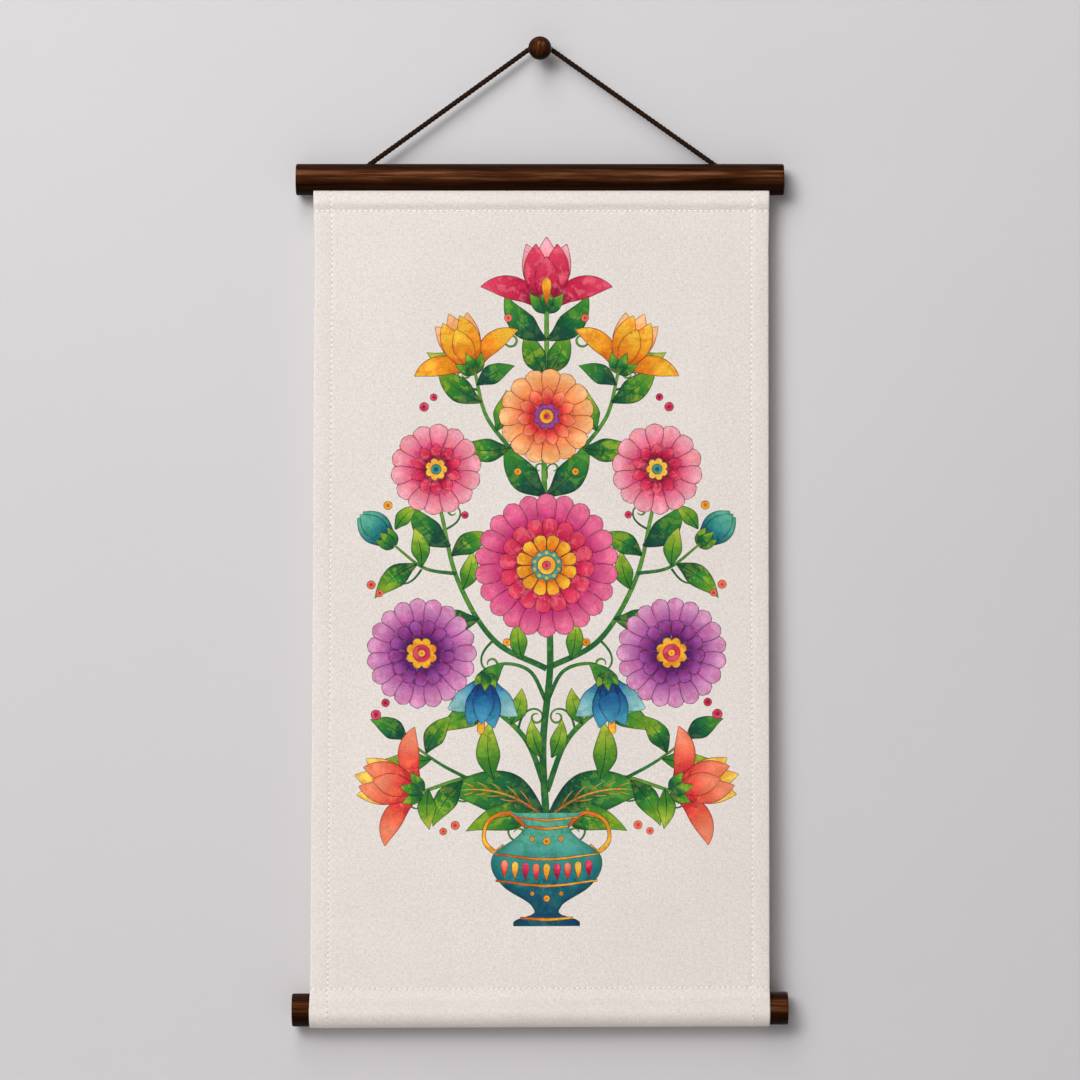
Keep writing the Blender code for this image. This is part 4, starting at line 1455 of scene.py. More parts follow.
def bouquet():
    """Every painted shape of the print, back ones first. Most come in mirrored pairs."""
    right = [tendril(*row) for row in (
        # x, y, heading, length, turning, half width
        (24, 161, 100, 58, 470, 1.1), (44, 238, -44, 56, -430, 1.1), (54, 122, -72, 58, 440, 1.1),
        (30, 400, 126, 46, -430, 1.0), (8, 480, 60, 66, -470, 1.1), (104, 297, -56, 50, 420, 1.0),
        (84, 330, 152, 44, -400, 1.0), (56, 446, 8, 50, 430, 1.1), (12, 96, -18, 62, -420, 1.2),
        (112, 118, -66, 44, -430, 1.0), (0, 372, 96, 26, -300, 0.9),
    )]
    right += [stem(*row) for row in (
        # half width, points
        (2.3, (0, 88), (22, 114), (60, 124), (104, 112)),
        (2.5, (0, 112), (18, 156), (52, 186), (88, 206)),
        (1.8, (0, 186), (14, 212), (38, 218), (52, 206)),
        (2.5, (0, 214), (44, 238), (74, 288), (88, 345)),
        (1.6, (75, 293), (102, 298), (127, 317)),
        (2.1, (0, 358), (26, 392), (50, 424), (60, 462)),
        (1.5, (66, 123), (90, 136), (118, 156)),
    )]
    shapes = both_sides(right)
    shapes.append(stem(3.1, (0, 84), (-3, 150), (3, 220), (0, 300), (-2, 380), (0, 440), (0, 520)))
    right = []
    for row in (
        # x, y, heading, length, half width, bend, paint, side veins if any
        (2, 90, 44, 92, 18.5, -62, "deep leaf", 5),
        (4, 90, 12, 66, 11.5, -44, "leaf"),
        (44, 122, 70, 50, 10.0, 34, "young leaf"),
        (70, 121, -42, 46, 9.6, -30, "leaf"),
        (98, 114, -78, 34, 7.8, -26, "young leaf"),
        (30, 168, 124, 32, 7.6, -34, "young leaf"),
        (44, 182, -8, 50, 10.6, -34, "leaf"),
        (58, 190, 112, 38, 8.8, 34, "deep leaf"),
        (100, 144, 108, 38, 8.8, 32, "leaf"),
        (96, 139, -12, 40, 8.6, 24, "young leaf"),
        (116, 155, 44, 36, 8.6, -30, "deep leaf"),
        (20, 222, 70, 34, 7.4, 30, "young leaf"),
        (56, 256, -16, 46, 9.6, 42, "leaf"),
        (70, 280, 120, 34, 7.8, -34, "young leaf"),
        (79, 308, 136, 40, 9.0, 34, "leaf"),
        (80, 316, 24, 50, 10.6, 46, "deep leaf"),
        (104, 299, 92, 34, 7.8, -26, "young leaf"),
        (108, 301, -22, 46, 9.2, -34, "leaf"),
        (0, 358, 30, 58, 12.0, 44, "deep leaf"),
        (30, 398, -14, 46, 9.8, 34, "leaf"),
        (42, 412, 120, 36, 8.4, -32, "young leaf"),
        (54, 436, 20, 50, 10.2, 40, "leaf"),
        (58, 450, 138, 36, 8.2, 30, "deep leaf"),
        (0, 458, 50, 44, 9.4, 36, "leaf"),
        (0, 488, 20, 54, 10.6, 56, "deep leaf"),
        (4, 140, 60, 34, 7.0, 30, "young leaf"),
        (126, 330, 118, 28, 6.4, 30, "young leaf"),
        (62, 468, -6, 40, 8.2, 40, "young leaf"),
    ):
        right += leaf(*row)
    right += tulip(104, 112, 14, 54, "coral", "yellow")
    right += bell(50, 209, -84, 44, "blue", "sky", "gold")
    right += bud(127, 317, 42, 38, "teal", "blue")
    right += tulip(60, 461, 66, 50, "gold", "peach")
    right += rosette(104, 227, (
        (19, 15, 46, 7.2, "lilac", "plum", ROUND_PETAL_FORM, 0),
        (13, 9, 28, 5.4, "purple", "plum", ROUND_PETAL_FORM, 8),
    ), ((13.5, "gold", "brown", 8, 0.22), (7.4, "crimson", "red"), (3.2, "yellow", "brown")))
    right += rosette(92, 380, (
        (14, 11, 38, 7.8, "pink", "plum", ROUND_PETAL_FORM, 4),
        (10, 6, 22, 5.2, "crimson", "plum", PETAL_FORM, 0),
    ), ((9.6, "yellow", "brown", 7, 0.24), (4.4, "teal", "blue")))
    right += [Blob(*row) for row in (
        # x, y, radius, paint, ink
        (142, 176, 4.4, "crimson", "plum"), (134, 186, 3.6, "crimson", "plum"),
        (146, 284, 3.8, "coral", "red"), (139, 277, 3.2, "coral", "red"),
        (33, 236, 3.4, "gold", "brown"), (102, 432, 4.0, "crimson", "plum"),
        (94, 440, 3.2, "crimson", "plum"), (132, 350, 3.8, "gold", "brown"),
        (32, 506, 3.4, "coral", "red"), (76, 84, 3.8, "coral", "red"), (86, 79, 3.2, "coral", "red"),
        (24, 378, 3.2, "gold", "brown"), (68, 342, 3.2, "crimson", "plum"),
    )]
    shapes += both_sides(right)
    shapes += vase()
    shapes += rosette(0, 300, (
        (22, 20, 60, 8.4, "magenta", "plum", ROUND_PETAL_FORM, 0),
        (16, 14, 40, 6.8, "crimson", "plum", ROUND_PETAL_FORM, 6),
        (12, 8, 26, 5.4, "gold", "brown", ROUND_PETAL_FORM, 0),
    ), ((13.5, "teal", "blue", 10, 0.16), (8.0, "yellow", "brown")))
    shapes += beads(0, 300, 10.4, 10, 1.2, "yellow", 18)
    shapes.append(Blob(0, 300, 3.8, "crimson", "red"))
    shapes += rosette(0, 424, (
        (15, 12, 40, 7.9, "peach", "red", ROUND_PETAL_FORM, 0),
        (11, 8, 25, 5.5, "coral", "red", PETAL_FORM, 6),
    ), ((11.4, "purple", "plum", 8, 0.2), (6.2, "gold", "brown"), (2.6, "crimson", "red")))
    shapes += tulip(0, 512, 90, 58, "crimson", "pink")
    middle = bent_line(0, 516, 90, 24, spacing=FINE_STATION)
    shapes.append(Ribbon(middle, 4.2, DROP_FORM, "gold", "brown"))
    return shapes


def on_cloth(points):
    """Places in the print's plan as x and height in millimetres on the cloth."""
    return np.array(points, float) + (PRINT_MIDDLE / MM, PRINT_FOOT / MM)


class PaintedPatch:
    """Triangles of the printed face, cut along the outlines of the painted shapes."""

    GRID_GAP = 0.9
    MERGE = 0.0008

    def __init__(self, shapes):
        self.shapes = shapes
        self.regions = [None]

    def fill(self, cloth, ring, lip_row, rod_row):
        """Fills the ring of the cloth's points with triangles, each with its shape's number as tag."""
        points = [(cloth.places[i][0] / MM, -cloth.places[i][1] / MM) for i in ring]
        bounds = list(range(len(ring)))
        edges, outlines = [], [None]
        for shape in self.shapes:
            for kind, narrower in (("ink", 0.0), ("fill", shape.ink_width if shape.ink else 0.0)):
                outline = shape.outline(narrower)
                if not outline or (kind == "ink" and not shape.ink):
                    continue
                numbers = list(range(len(points), len(points) + len(outline)))
                outline = on_cloth(outline)
                points += list(map(tuple, outline))
                edges += list(zip(numbers, numbers[1:] + numbers[:1]))
                self.regions.append((kind, shape))
                outlines.append(outline)
            inner = shape.inner_points()
            if inner:
                points += list(map(tuple, on_cloth(inner)))
        taken = {(int(x / self.GRID_GAP), int(y / self.GRID_GAP)) for x, y in points[len(ring):]}
        for k in range(lip_row + 1, rod_row):
            way = cloth.rows[k]
            for x in cloth.column_x(way)[1:-1]:
                cell = (int(x / MM / self.GRID_GAP), int(-way / MM / self.GRID_GAP))
                if cell not in taken:
                    points.append((x / MM, -way / MM))
        made = delaunay_2d_cdt([Vector(p) for p in points], edges, [bounds], 1, self.MERGE)
        verts, _, faces, origin_verts = made[:4]
        number, fresh = {}, []
        for i, sources in enumerate(origin_verts):
            known = [s for s in sources if s < len(ring)]
            if known:
                number[i] = ring[known[0]]
            else:
                fresh.append(i)
        flat = np.array([(v.x, v.y) for v in verts])
        added = cloth.add_points(flat[fresh, 0] * MM, -flat[fresh, 1] * MM, 0.0)
        number.update(zip(fresh, added))
        tags = top_outlines(flat[np.array(faces)].mean(axis=1), outlines)
        for triangle, tag in zip(faces, tags):
            cloth.add_face(tuple(number[i] for i in triangle), int(tag))


def top_outlines(middles, outlines):
    """For each triangle's middle, the number of the last outline that goes round it, or 0."""
    tags = np.zeros(len(middles), int)
    order = np.argsort(middles[:, 1])
    heights = middles[order, 1]
    for tag, outline in enumerate(outlines[1:], 1):
        low, high = outline.min(axis=0), outline.max(axis=0)
        span = order[np.searchsorted(heights, low[1]):np.searchsorted(heights, high[1])]
        span = span[(middles[span, 0] > low[0]) & (middles[span, 0] < high[0])]
        tags[span[inside(middles[span], outline)]] = tag
    return tags


def inside(points, outline):
    """Which points an outline goes round at least once, crossings of itself included."""
    x, y = points[:, 0, None], points[:, 1, None]
    x1, y1 = outline[None, :, 0], outline[None, :, 1]
    x2, y2 = np.roll(x1, -1, axis=1), np.roll(y1, -1, axis=1)
    side = (x2 - x1) * (y - y1) - (x - x1) * (y2 - y1)
    upward = (y1 <= y) & (y2 > y) & (side > 0)
    downward = (y1 > y) & (y2 <= y) & (side < 0)
    return (upward.sum(axis=1) - downward.sum(axis=1)) != 0


def paint_corners(mesh, cloth, patch):
    """Writes each corner's paints: the wash, the second pigment, and rim, ink and painted marks."""
    tags = np.array(cloth.tags)
    places = np.array(cloth.places)
    sizes = np.zeros(len(mesh.polygons), np.int32)
    mesh.polygons.foreach_get("loop_total", sizes)
    corners = corner_points(mesh)
    owner = np.repeat(tags, sizes)
    plan = places[corners] * (1.0, -1.0) / MM - (PRINT_MIDDLE / MM, PRINT_FOOT / MM)
    wash, second, deep = np.ones((3, len(corners), 4), np.float32)
    brush = np.zeros((len(corners), 4), np.float32)
    order = np.argsort(owner, kind="stable")
    bounds = np.searchsorted(owner[order], np.arange(1, len(patch.regions) + 1))
    for tag in range(1, len(patch.regions)):
        chosen = order[bounds[tag - 1]:bounds[tag]]
        if not len(chosen):
            continue
        kind, shape = patch.regions[tag]
        if kind == "ink":
            for layer in (wash, second, deep):
                layer[chosen] = linear(*INKS[shape.ink])
            brush[chosen] = (0.0, 1.0, 1.0, 1.0)
            continue
        base, middle, tip, other = (np.array(linear(*c)) for c in PAINTS[shape.paint])
        along, edge = shape.measure(plan[chosen])
        lower = smooth_share(along / 0.50)[:, None]
        upper = smooth_share((along - 0.40) / 0.50)[:, None]
        wash[chosen] = (base * (1 - lower) + middle * lower) * (1 - upper) + tip * upper
        second[chosen] = other
        deep[chosen] = base
        brush[chosen, 0] = edge
        brush[chosen, 2] = 1.0
        brush[chosen, 3] = along
    for name, values in (("wash", wash), ("pigment", second), ("deep", deep), ("brush", brush)):
        layer = mesh.attributes.new(name, "FLOAT_COLOR", "CORNER")
        layer.data.foreach_set("color", values.ravel())


class ClothSettings(bpy.types.PropertyGroup):
    colour: bpy.props.FloatVectorProperty(
        name="Canvas", description="Colour of the bare canvas", default=(0.850, 0.792, 0.735), **COLOUR,
    )
    thread_pitch: bpy.props.FloatProperty(
        name="Thread pitch", description="Distance between two threads of the weave",
        default=0.00085, min=0.0004, unit="LENGTH",
    )
    weave_depth: bpy.props.FloatProperty(
        name="Weave depth", description="Height of the weave's relief", default=0.00026,
        min=0.0, unit="LENGTH",
    )
    paint: bpy.props.FloatProperty(
        name="Paint", description="How strongly the print covers the canvas", default=1.0,
        min=0.0, max=1.0,
    )


def canvas_material(settings):
    """Plain-woven canvas with slubs, and a water-colour print soaked into it. Painted shade darkens the
    weave's gaps, the stitch lines and the needle holes; painted light brightens the lower cloth and the
    pocket.
    """
    finish = Finish("printed_canvas")
    white = (1.0, 1.0, 1.0, 1.0)
    place = finish.layer("weave")
    x, y = place.part(0), place.part(1)
    wobble = finish.noise(place, 60.0, 2.0) - 0.5
    u = (x + wobble * 0.0010) / settings.thread_pitch
    v = (y + wobble * 0.0013) / settings.thread_pitch
    warp_swell = finish.spread_noise(place, (900.0, 34.0, 1.0), 2.0)
    weft_swell = finish.spread_noise(place, (34.0, 900.0, 1.0), 2.0)
    across_warp = (u * math.pi).sine().absolute()
    across_weft = (v * math.pi).sine().absolute()
    over = (u.floor() + v.floor()) * 0.5
    over = (over.fraction() * 2.0).step(0.4, 0.6)
    warp = over * across_warp ** 0.75 * (0.55 + across_weft * 0.45)
    weft = (1.0 - over) * across_weft ** 0.75 * (0.55 + across_warp * 0.45)
    weave = warp + weft
    slub = warp_swell.step(0.50, 0.80) * 0.5 + weft_swell.step(0.50, 0.80) * 0.5
    height = weave * (0.75 + slub * 0.7) + slub * 0.35
    yarn_warp = finish.spread_noise(place, (1100.0, 300.0, 1.0), 1.0, 0.6, move=(5.0, 0.0, 0.0))
    yarn_weft = finish.spread_noise(place, (300.0, 1100.0, 1.0), 1.0, 0.6, move=(0.0, 5.0, 0.0))
    yarn = (yarn_warp + yarn_weft + warp_swell * 0.25 + weft_swell * 0.25) / 2.5
    dark_thread, light_thread = (0.872, 0.860, 0.840, 1.0), (1.068, 1.073, 1.080, 1.0)
    thread_tone = finish.mix(yarn.step(0.36, 0.62), dark_thread, light_thread)
    cloud = finish.noise(place, 9.0)
    cloud_tone = finish.mix(cloud.step(0.3, 0.7), (0.975, 0.968, 0.960, 1.0), white)
    # Painted light: the canvas is painted lighter towards the bottom and lighter again on the pocket.
    lower = (-y).step(0.15, 0.75, 0.975, 1.03) + (-y).step(0.779, 0.790, 0.0, 0.05)
    canvas = shade(settings.colour)
    for tone in (thread_tone, cloud_tone, finish.joined(lower, lower, lower)):
        canvas = finish.times(canvas, tone)
    drawn = finish.layer("seams")
    beside, beat = drawn.part(0), drawn.part(1)
    # Painted shade: a darker band beside each stitch line.
    line = 1.0 - beside.step(0.00005, 0.0016)
    canvas = finish.mix(line * 0.10, canvas, shade(settings.colour, 0.70))
    # Painted shade in the needle holes: dark spots at the stitch ends, fainter in patches.
    off_hole = 0.5 - (beat.fraction() - 0.5).absolute()
    patchy = finish.noise(place, 190.0, 1.0).step(0.26, 0.54)
    hole = (1.0 - beside.step(0.00020, 0.00052)) * (1.0 - off_hole.step(0.06, 0.14))
    canvas = finish.mix(hole * patchy * 0.72, canvas, linear(138, 122, 100))
    pit = (1.0 - weave).step(0.40, 0.95)
    canvas = finish.mix((1.0 - over) * 0.17, canvas, shade(settings.colour, 0.72))
    # Painted shade: darker in the pits between the threads.
    canvas = finish.mix(pit * 0.50, canvas, shade(settings.colour, 0.66))
    speck = finish.noise(place, 420.0, 1.0).step(0.74, 0.80)
    canvas = finish.mix(speck * 0.30, canvas, linear(168, 146, 118))

    wash, pigment, deep, brush = (
        finish.attribute(name, "Color") for name in ("wash", "pigment", "deep", "brush")
    )
    marks = finish.add("ShaderNodeSeparateColor", {}, {0: brush}).out.node.outputs
    edge, ink, painted = (Socket(finish, out) for out in marks)
    along = finish.attribute("brush", "Alpha")
    unpainted_line = 1.0 - ink
    bloom = finish.noise(place, 110.0, 4.0, 0.62, 0.5)
    colour = finish.mix(bloom.step(0.50, 0.57) * 0.55 * unpainted_line, wash, pigment)
    creep = finish.spread_noise(place, (210.0, 210.0, 1.0), 4.0, 0.65, move=(4.0, 9.0, 0.0))
    soaked = (1.0 - along + (creep - 0.5) * 0.62).step(0.58, 0.66) * unpainted_line
    colour = finish.mix(soaked * 0.62, colour, deep)
    pool = finish.spread_noise(place, (62.0, 62.0, 1.0), 3.0, 0.55, move=(3.1, 1.7, 0.0))
    thin = pool.step(0.42, 0.66) * (1.0 - edge * edge) * unpainted_line
    paler = finish.mix(0.03, finish.times(colour, (1.7, 1.7, 1.7, 1.0)), linear(248, 240, 224))
    colour = finish.mix(thin * 0.45, colour, paler)
    rim = (edge - 0.74).step(0.0, 0.24) * unpainted_line
    colour = finish.mix(rim * 0.45, colour, finish.times(colour, colour))
    grain = finish.noise(place, 700.0, 2.0, 0.6)
    lighter = finish.times(colour, (1.35, 1.35, 1.35, 1.0))
    colour = finish.mix(grain.step(0.42, 0.70) * 0.5 * unpainted_line, colour, lighter)
    faint = finish.spread_noise(place, (180.0, 180.0, 1.0), 2.0, move=(7.0, 2.0, 0.0))
    ink_hold = 1.0 - ink * faint.step(0.45, 0.78) * 0.25
    printed = finish.times(colour, finish.mix(0.72, white, canvas))
    cover = painted * ink_hold * settings.paint * (1.0 - pit * 0.03)
    colour = finish.mix(cover, canvas, printed)
    normal = finish.bump(height, settings.weave_depth, 0.9)
    roughness = 0.92 - painted * 0.04
    return finish.done(
        colour, roughness, normal, Specular_IOR_Level=0.10, Sheen_Weight=0.05, Sheen_Roughness=0.6,
    )


class HANGING_OT_cloth(bpy.types.Operator):
    """Shapes the cloth with its hems and rod pocket and cuts its face along the print"""

    bl_idname = "hanging.cloth"
    bl_label = "Printed Cloth"

    def execute(self, context):
        route = ClothRoute()
        cloth = ClothMesh(route)
        patch = PaintedPatch(bouquet())
        cloth.build(patch.fill)
        mesh = bpy.data.meshes.new("printed_cloth")
        mesh.from_pydata(cloth.points, [], cloth.faces)
        mesh.shade_smooth()
        paint_corners(mesh, cloth, patch)
        places = (np.array(cloth.places) * (1.0, -1.0))[corner_points(mesh)]
        seams = seam_places(places, context.scene.hanging_stitches.pitch)
        for name, values in (("weave", places), ("seams", seams)):
            mesh.uv_layers.new(name=name).data.foreach_set("uv", values.ravel())
        piece = new_piece("printed_cloth", mesh, canvas_material(context.scene.hanging_cloth))
        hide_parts("cloth")
        return {"FINISHED"}


# Stitches

STITCH_INSET = 0.0006
BACK_STITCHES_STOP = 0.004
LEVEL_SEAM_REACH = 0.0012


class StitchSettings(bpy.types.PropertyGroup):
    pitch: bpy.props.FloatProperty(
        name="Pitch", description="Length of one stitch, hole to hole", default=0.0045,
        min=0.001, unit="LENGTH",
    )
    thread: bpy.props.FloatProperty(
        name="Thread", description="Thickness of the thread", default=0.00095, min=0.0001, unit="LENGTH",
    )
    gap: bpy.props.FloatProperty(
        name="Gap", description="Part of a stitch's pitch that is inside the cloth", default=0.26,
        min=0.0, max=0.9,
    )
    unevenness: bpy.props.FloatProperty(
        name="Unevenness", description="How far stitches turn off their line, in radians",
        default=0.05, min=0.0, subtype="ANGLE",
    )
    colour: bpy.props.FloatVectorProperty(
        name="Thread colour", description="Colour of the thread",
        default=linear(255, 252, 246)[:3], **COLOUR,
    )
    seed: bpy.props.IntProperty(name="Seed", description="Start of the unevenness", default=7)


def thread_material(colour):
    """Off-white spun thread with a fine twist."""
    finish = Finish("spun_thread")
    place = finish.place()
    ply = finish.add("ShaderNodeTexWave", {"bands_direction": "DIAGONAL"}, {
        "Vector": place, "Scale": 900.0, "Distortion": 2.0, "Detail": 1.0,
    }, out="Fac")
    dust = finish.noise(place, 300.0, 2.0)
    tone = finish.mix(ply * 0.45 + dust * 0.25, shade(colour), shade(colour, 0.88))
    return finish.done(tone, 0.78, finish.bump(ply, 0.00008, 0.6), Specular_IOR_Level=0.3)


def one_stitch(length, thickness):
    """A stitch along local X: an arched thread that dives into the cloth at both ends."""
    rings, sides = 9, 8
    points = []
    for k in range(rings):
        share = k / (rings - 1)
        arch = math.sin(math.pi * share) ** 0.5
        radius = thickness / 2 * (0.62 + 0.38 * arch)
        for i in range(sides):
            angle = 2.0 * math.pi * i / sides
            points.append(((share - 0.5) * length, radius * math.cos(angle),
                           thickness * 0.95 * (arch - 0.75) + radius * math.sin(angle)))
    return points, [face[::-1] for face in tube_faces(rings, sides)]


def seam_places(places, pitch):
    """How far each place on the cloth is off its nearest hem line, and how many stitches along."""
    x, height = places[:, 0], places[:, 1]
    left, right = cloth_edges(height)
    side = np.minimum(np.abs(x - left - LEFT_HEM_WIDTH), np.abs(right - RIGHT_HEM_WIDTH - x))
    level = np.minimum(np.abs(height - TOP_STITCH_HEIGHT), np.abs(height - POCKET_STITCH_HEIGHT))
    on_level = level < LEVEL_SEAM_REACH
    first = -LIP_HEIGHT + STITCH_INSET
    side_count = round((SIDE_STITCHES_END - first) / pitch)
    down = (-height - first) / (SIDE_STITCHES_END - first) * side_count
    level_line = np.where(height > -0.45, TOP_STITCH_HEIGHT, POCKET_STITCH_HEIGHT)
    start, end = cloth_edges(level_line)
    span = end - start - 2.0 * STITCH_INSET
    over = (x - start - STITCH_INSET) / span * np.round(span / pitch)
    seams = np.stack([np.where(on_level, level, side), np.where(on_level, over, down)], axis=1)
    return seams.astype(np.float32)


def stitch_places(settings):
    """Middles, headings and facings of every stitch, front and back, line by line."""
    route = ClothRoute()
    lines = []
    for height in (TOP_STITCH_HEIGHT, POCKET_STITCH_HEIGHT):
        left, right = cloth_edges(height)
        count = round((right - left - 2.0 * STITCH_INSET) / settings.pitch)
        x = np.linspace(left + STITCH_INSET, right - STITCH_INSET, count + 1)
        lines.append((x, np.full(count + 1, -height)))
    first = -LIP_HEIGHT + STITCH_INSET
    count = round((SIDE_STITCHES_END - first) / settings.pitch)
    way = np.linspace(first, SIDE_STITCHES_END, count + 1)
    left, right = cloth_edges(route.at(way)[1])
    lines += [(left + LEFT_HEM_WIDTH, way), (right - RIGHT_HEM_WIDTH, way)]
    rows = []
    for x, way in lines:
        above_pocket = way < -POCKET_STITCH_HEIGHT - BACK_STITCHES_STOP
        for depth, sign, kept in ((0.0, 1.0, np.full(len(way), True)), (1.0, -1.0, above_pocket)):
            if not kept.any():
                continue
            at = cloth_point(route, x[kept], way[kept], depth)
            _, _, face_y, face_z = route.at((way[kept][1:] + way[kept][:-1]) / 2)
            facing = np.stack([np.zeros(len(face_y)), sign * face_y, sign * face_z], axis=1)
            rows.append(((at[1:] + at[:-1]) / 2, at[1:] - at[:-1], facing))
    return [np.concatenate(parts) for parts in zip(*rows)]


def stitch_tree(material):
    """Geometry nodes that lay one stitch on every point, turned to its heading and facing."""
    tree = bpy.data.node_groups.new("stitch_rows", "GeometryNodeTree")
    for name, way, kind in (
        ("Places", "INPUT", "Geometry"), ("Stitch", "INPUT", "Object"), ("Unevenness", "INPUT", "Float"),
        ("Seed", "INPUT", "Int"), ("Stitches", "OUTPUT", "Geometry"),
    ):
        tree.interface.new_socket(name, in_out=way, socket_type="NodeSocket" + kind)

    def node(kind, settings=(), values=()):
        made = tree.nodes.new(kind)
        for key, value in dict(settings).items():
            setattr(made, key, value)
        feed(tree, made, values)
        return made

    def named(name):
        kind = {"data_type": "FLOAT_VECTOR"}
        return node("GeometryNodeInputNamedAttribute", kind, {"Name": name}).outputs[0]

    given = node("NodeGroupInput").outputs
    heading = node("FunctionNodeAlignRotationToVector", {"axis": "X"}, {"Vector": named("heading")})
    facing = node("FunctionNodeAlignRotationToVector", {"axis": "Z", "pivot_axis": "X"},
                  {"Rotation": heading.outputs[0], "Vector": named("facing")})
    lean = node("FunctionNodeRandomValue", {"data_type": "FLOAT"}, {"Seed": given["Seed"]})
    turn = node("ShaderNodeMath", {"operation": "MULTIPLY_ADD"}, {0: lean.outputs[1], 1: 2.0, 2: -1.0})
    turn = node("ShaderNodeMath", {"operation": "MULTIPLY"}, {0: turn.outputs[0], 1: given["Unevenness"]})
    about = {"Axis": (0.0, 0.0, 1.0), "Angle": turn.outputs[0]}
    local = node("FunctionNodeAxisAngleToRotation", {}, about)
    whole = node("FunctionNodeRotateRotation", {"rotation_space": "LOCAL"},
                 {"Rotation": facing.outputs[0], "Rotate By": local.outputs[0]})
    shape = node("GeometryNodeObjectInfo", {}, {"Object": given["Stitch"]})
    laid = node("GeometryNodeInstanceOnPoints", {}, {
        "Points": given["Places"], "Instance": shape.outputs["Geometry"], "Rotation": whole.outputs[0],
    })
    solid = node("GeometryNodeRealizeInstances", {}, {"Geometry": laid.outputs[0]})
    painted = node("GeometryNodeSetMaterial", {}, {"Geometry": solid.outputs[0], "Material": material})
    shaded = node("GeometryNodeSetShadeSmooth", {}, {"Geometry": painted.outputs[0]})
    out = node("NodeGroupOutput")
    tree.links.new(shaded.outputs[0], out.inputs[0])
    return tree


class HANGING_OT_stitches(bpy.types.Operator):
    """Sews the hems and the pocket: rows of stitches on the front and the back"""

    bl_idname = "hanging.stitches"
    bl_label = "Stitches"

    def execute(self, context):
        settings = context.scene.hanging_stitches
        middles, ahead, facing = stitch_places(settings)
        mesh = bpy.data.meshes.new("hem_stitches")
        mesh.from_pydata(list(map(tuple, middles)), [], [])
        for name, values in (("heading", ahead), ("facing", facing)):
            layer = mesh.attributes.new(name, "FLOAT_VECTOR", "POINT")
            layer.data.foreach_set("vector", values.astype(np.float32).ravel())
        holder = linked_object("hem_stitches", mesh)
        length = settings.pitch * (1.0 - settings.gap)
        stitch = helper_object("one_stitch", *one_stitch(length, settings.thread))
        material = thread_material(settings.colour)
        tree = stitch_tree(material)
        modifier = holder.modifiers.new("stitch rows", "NODES")
        modifier.node_group = tree
        given = {"Stitch": stitch, "Unevenness": settings.unevenness, "Seed": settings.seed}
        for item in tree.interface.items_tree:
            if item.name in given:
                modifier[item.identifier] = given[item.name]
        context.view_layer.update()
        graph = context.evaluated_depsgraph_get()
        sewn = bpy.data.meshes.new_from_object(holder.evaluated_get(graph))
        for helper in (holder, stitch):
            bpy.data.objects.remove(helper)
        new_piece("hem_stitches", sewn, material)
        return {"FINISHED"}


# Stage

class StudioSettings(bpy.types.PropertyGroup):
    key_power: bpy.props.FloatProperty(
        name="Key light", description="Power of the window-like light at the upper left",
        default=99.0, min=0.0,
    )
    key_size: bpy.props.FloatProperty(
        name="Key size", description="Side of the square key light", default=1.69,
        min=0.05, unit="LENGTH",
    )
    soft_power: bpy.props.FloatProperty(
        name="Soft light", description="Power of the broad light round the key light",
        default=189.0, min=0.0,
    )
    top_power: bpy.props.FloatProperty(
        name="Top light", description="Power of the light above the front", default=22.0, min=0.0,
    )
    rear_power: bpy.props.FloatProperty(
        name="Rear light", description="Power of the light that shows the back", default=17.0, min=0.0,
    )
    soft_size: bpy.props.FloatProperty(
        name="Soft size", description="Side of the broad light", default=3.90, min=0.05, unit="LENGTH",
    )
    fill: bpy.props.FloatProperty(
        name="Fill", description="Strength of the even light from all round", default=0.066, min=0.0,
    )
    wall: bpy.props.FloatVectorProperty(
        name="Wall", description="Colour of the wall", default=(0.582, 0.564, 0.571), **COLOUR,
    )
    distance: bpy.props.FloatProperty(
        name="Camera distance", description="From the wall to the camera", default=4.00,
        min=0.5, unit="LENGTH",
    )
    view_width: bpy.props.FloatProperty(
        name="View width", description="Width that the picture takes in at the print",
        default=0.900, min=0.1, unit="LENGTH",
    )


def plaster_material(name, colour):
    """Smooth painted plaster, seen through from behind so that the hanging's back can be viewed."""
    finish = Finish(name)
    place = finish.place()
    fine = finish.noise(place, 420.0, 2.0)
    broad = finish.noise(place, 3.0, 2.0)
    tone = finish.mix(broad.step(0.3, 0.7), shade(colour, 0.985), shade(colour))
    normal = finish.bump(fine, 0.00004, 0.3)
    material = finish.done(tone, 0.9, normal, Specular_IOR_Level=0.2)
    clear = finish.add("ShaderNodeBsdfTransparent")
    behind = finish.add("ShaderNodeNewGeometry", out="Backfacing")
    both = finish.add("ShaderNodeMixShader", {}, {0: behind, 1: finish.shader.outputs[0], 2: clear})
    feed(finish.tree, finish.tree.nodes["Material Output"], {"Surface": both})
    return material


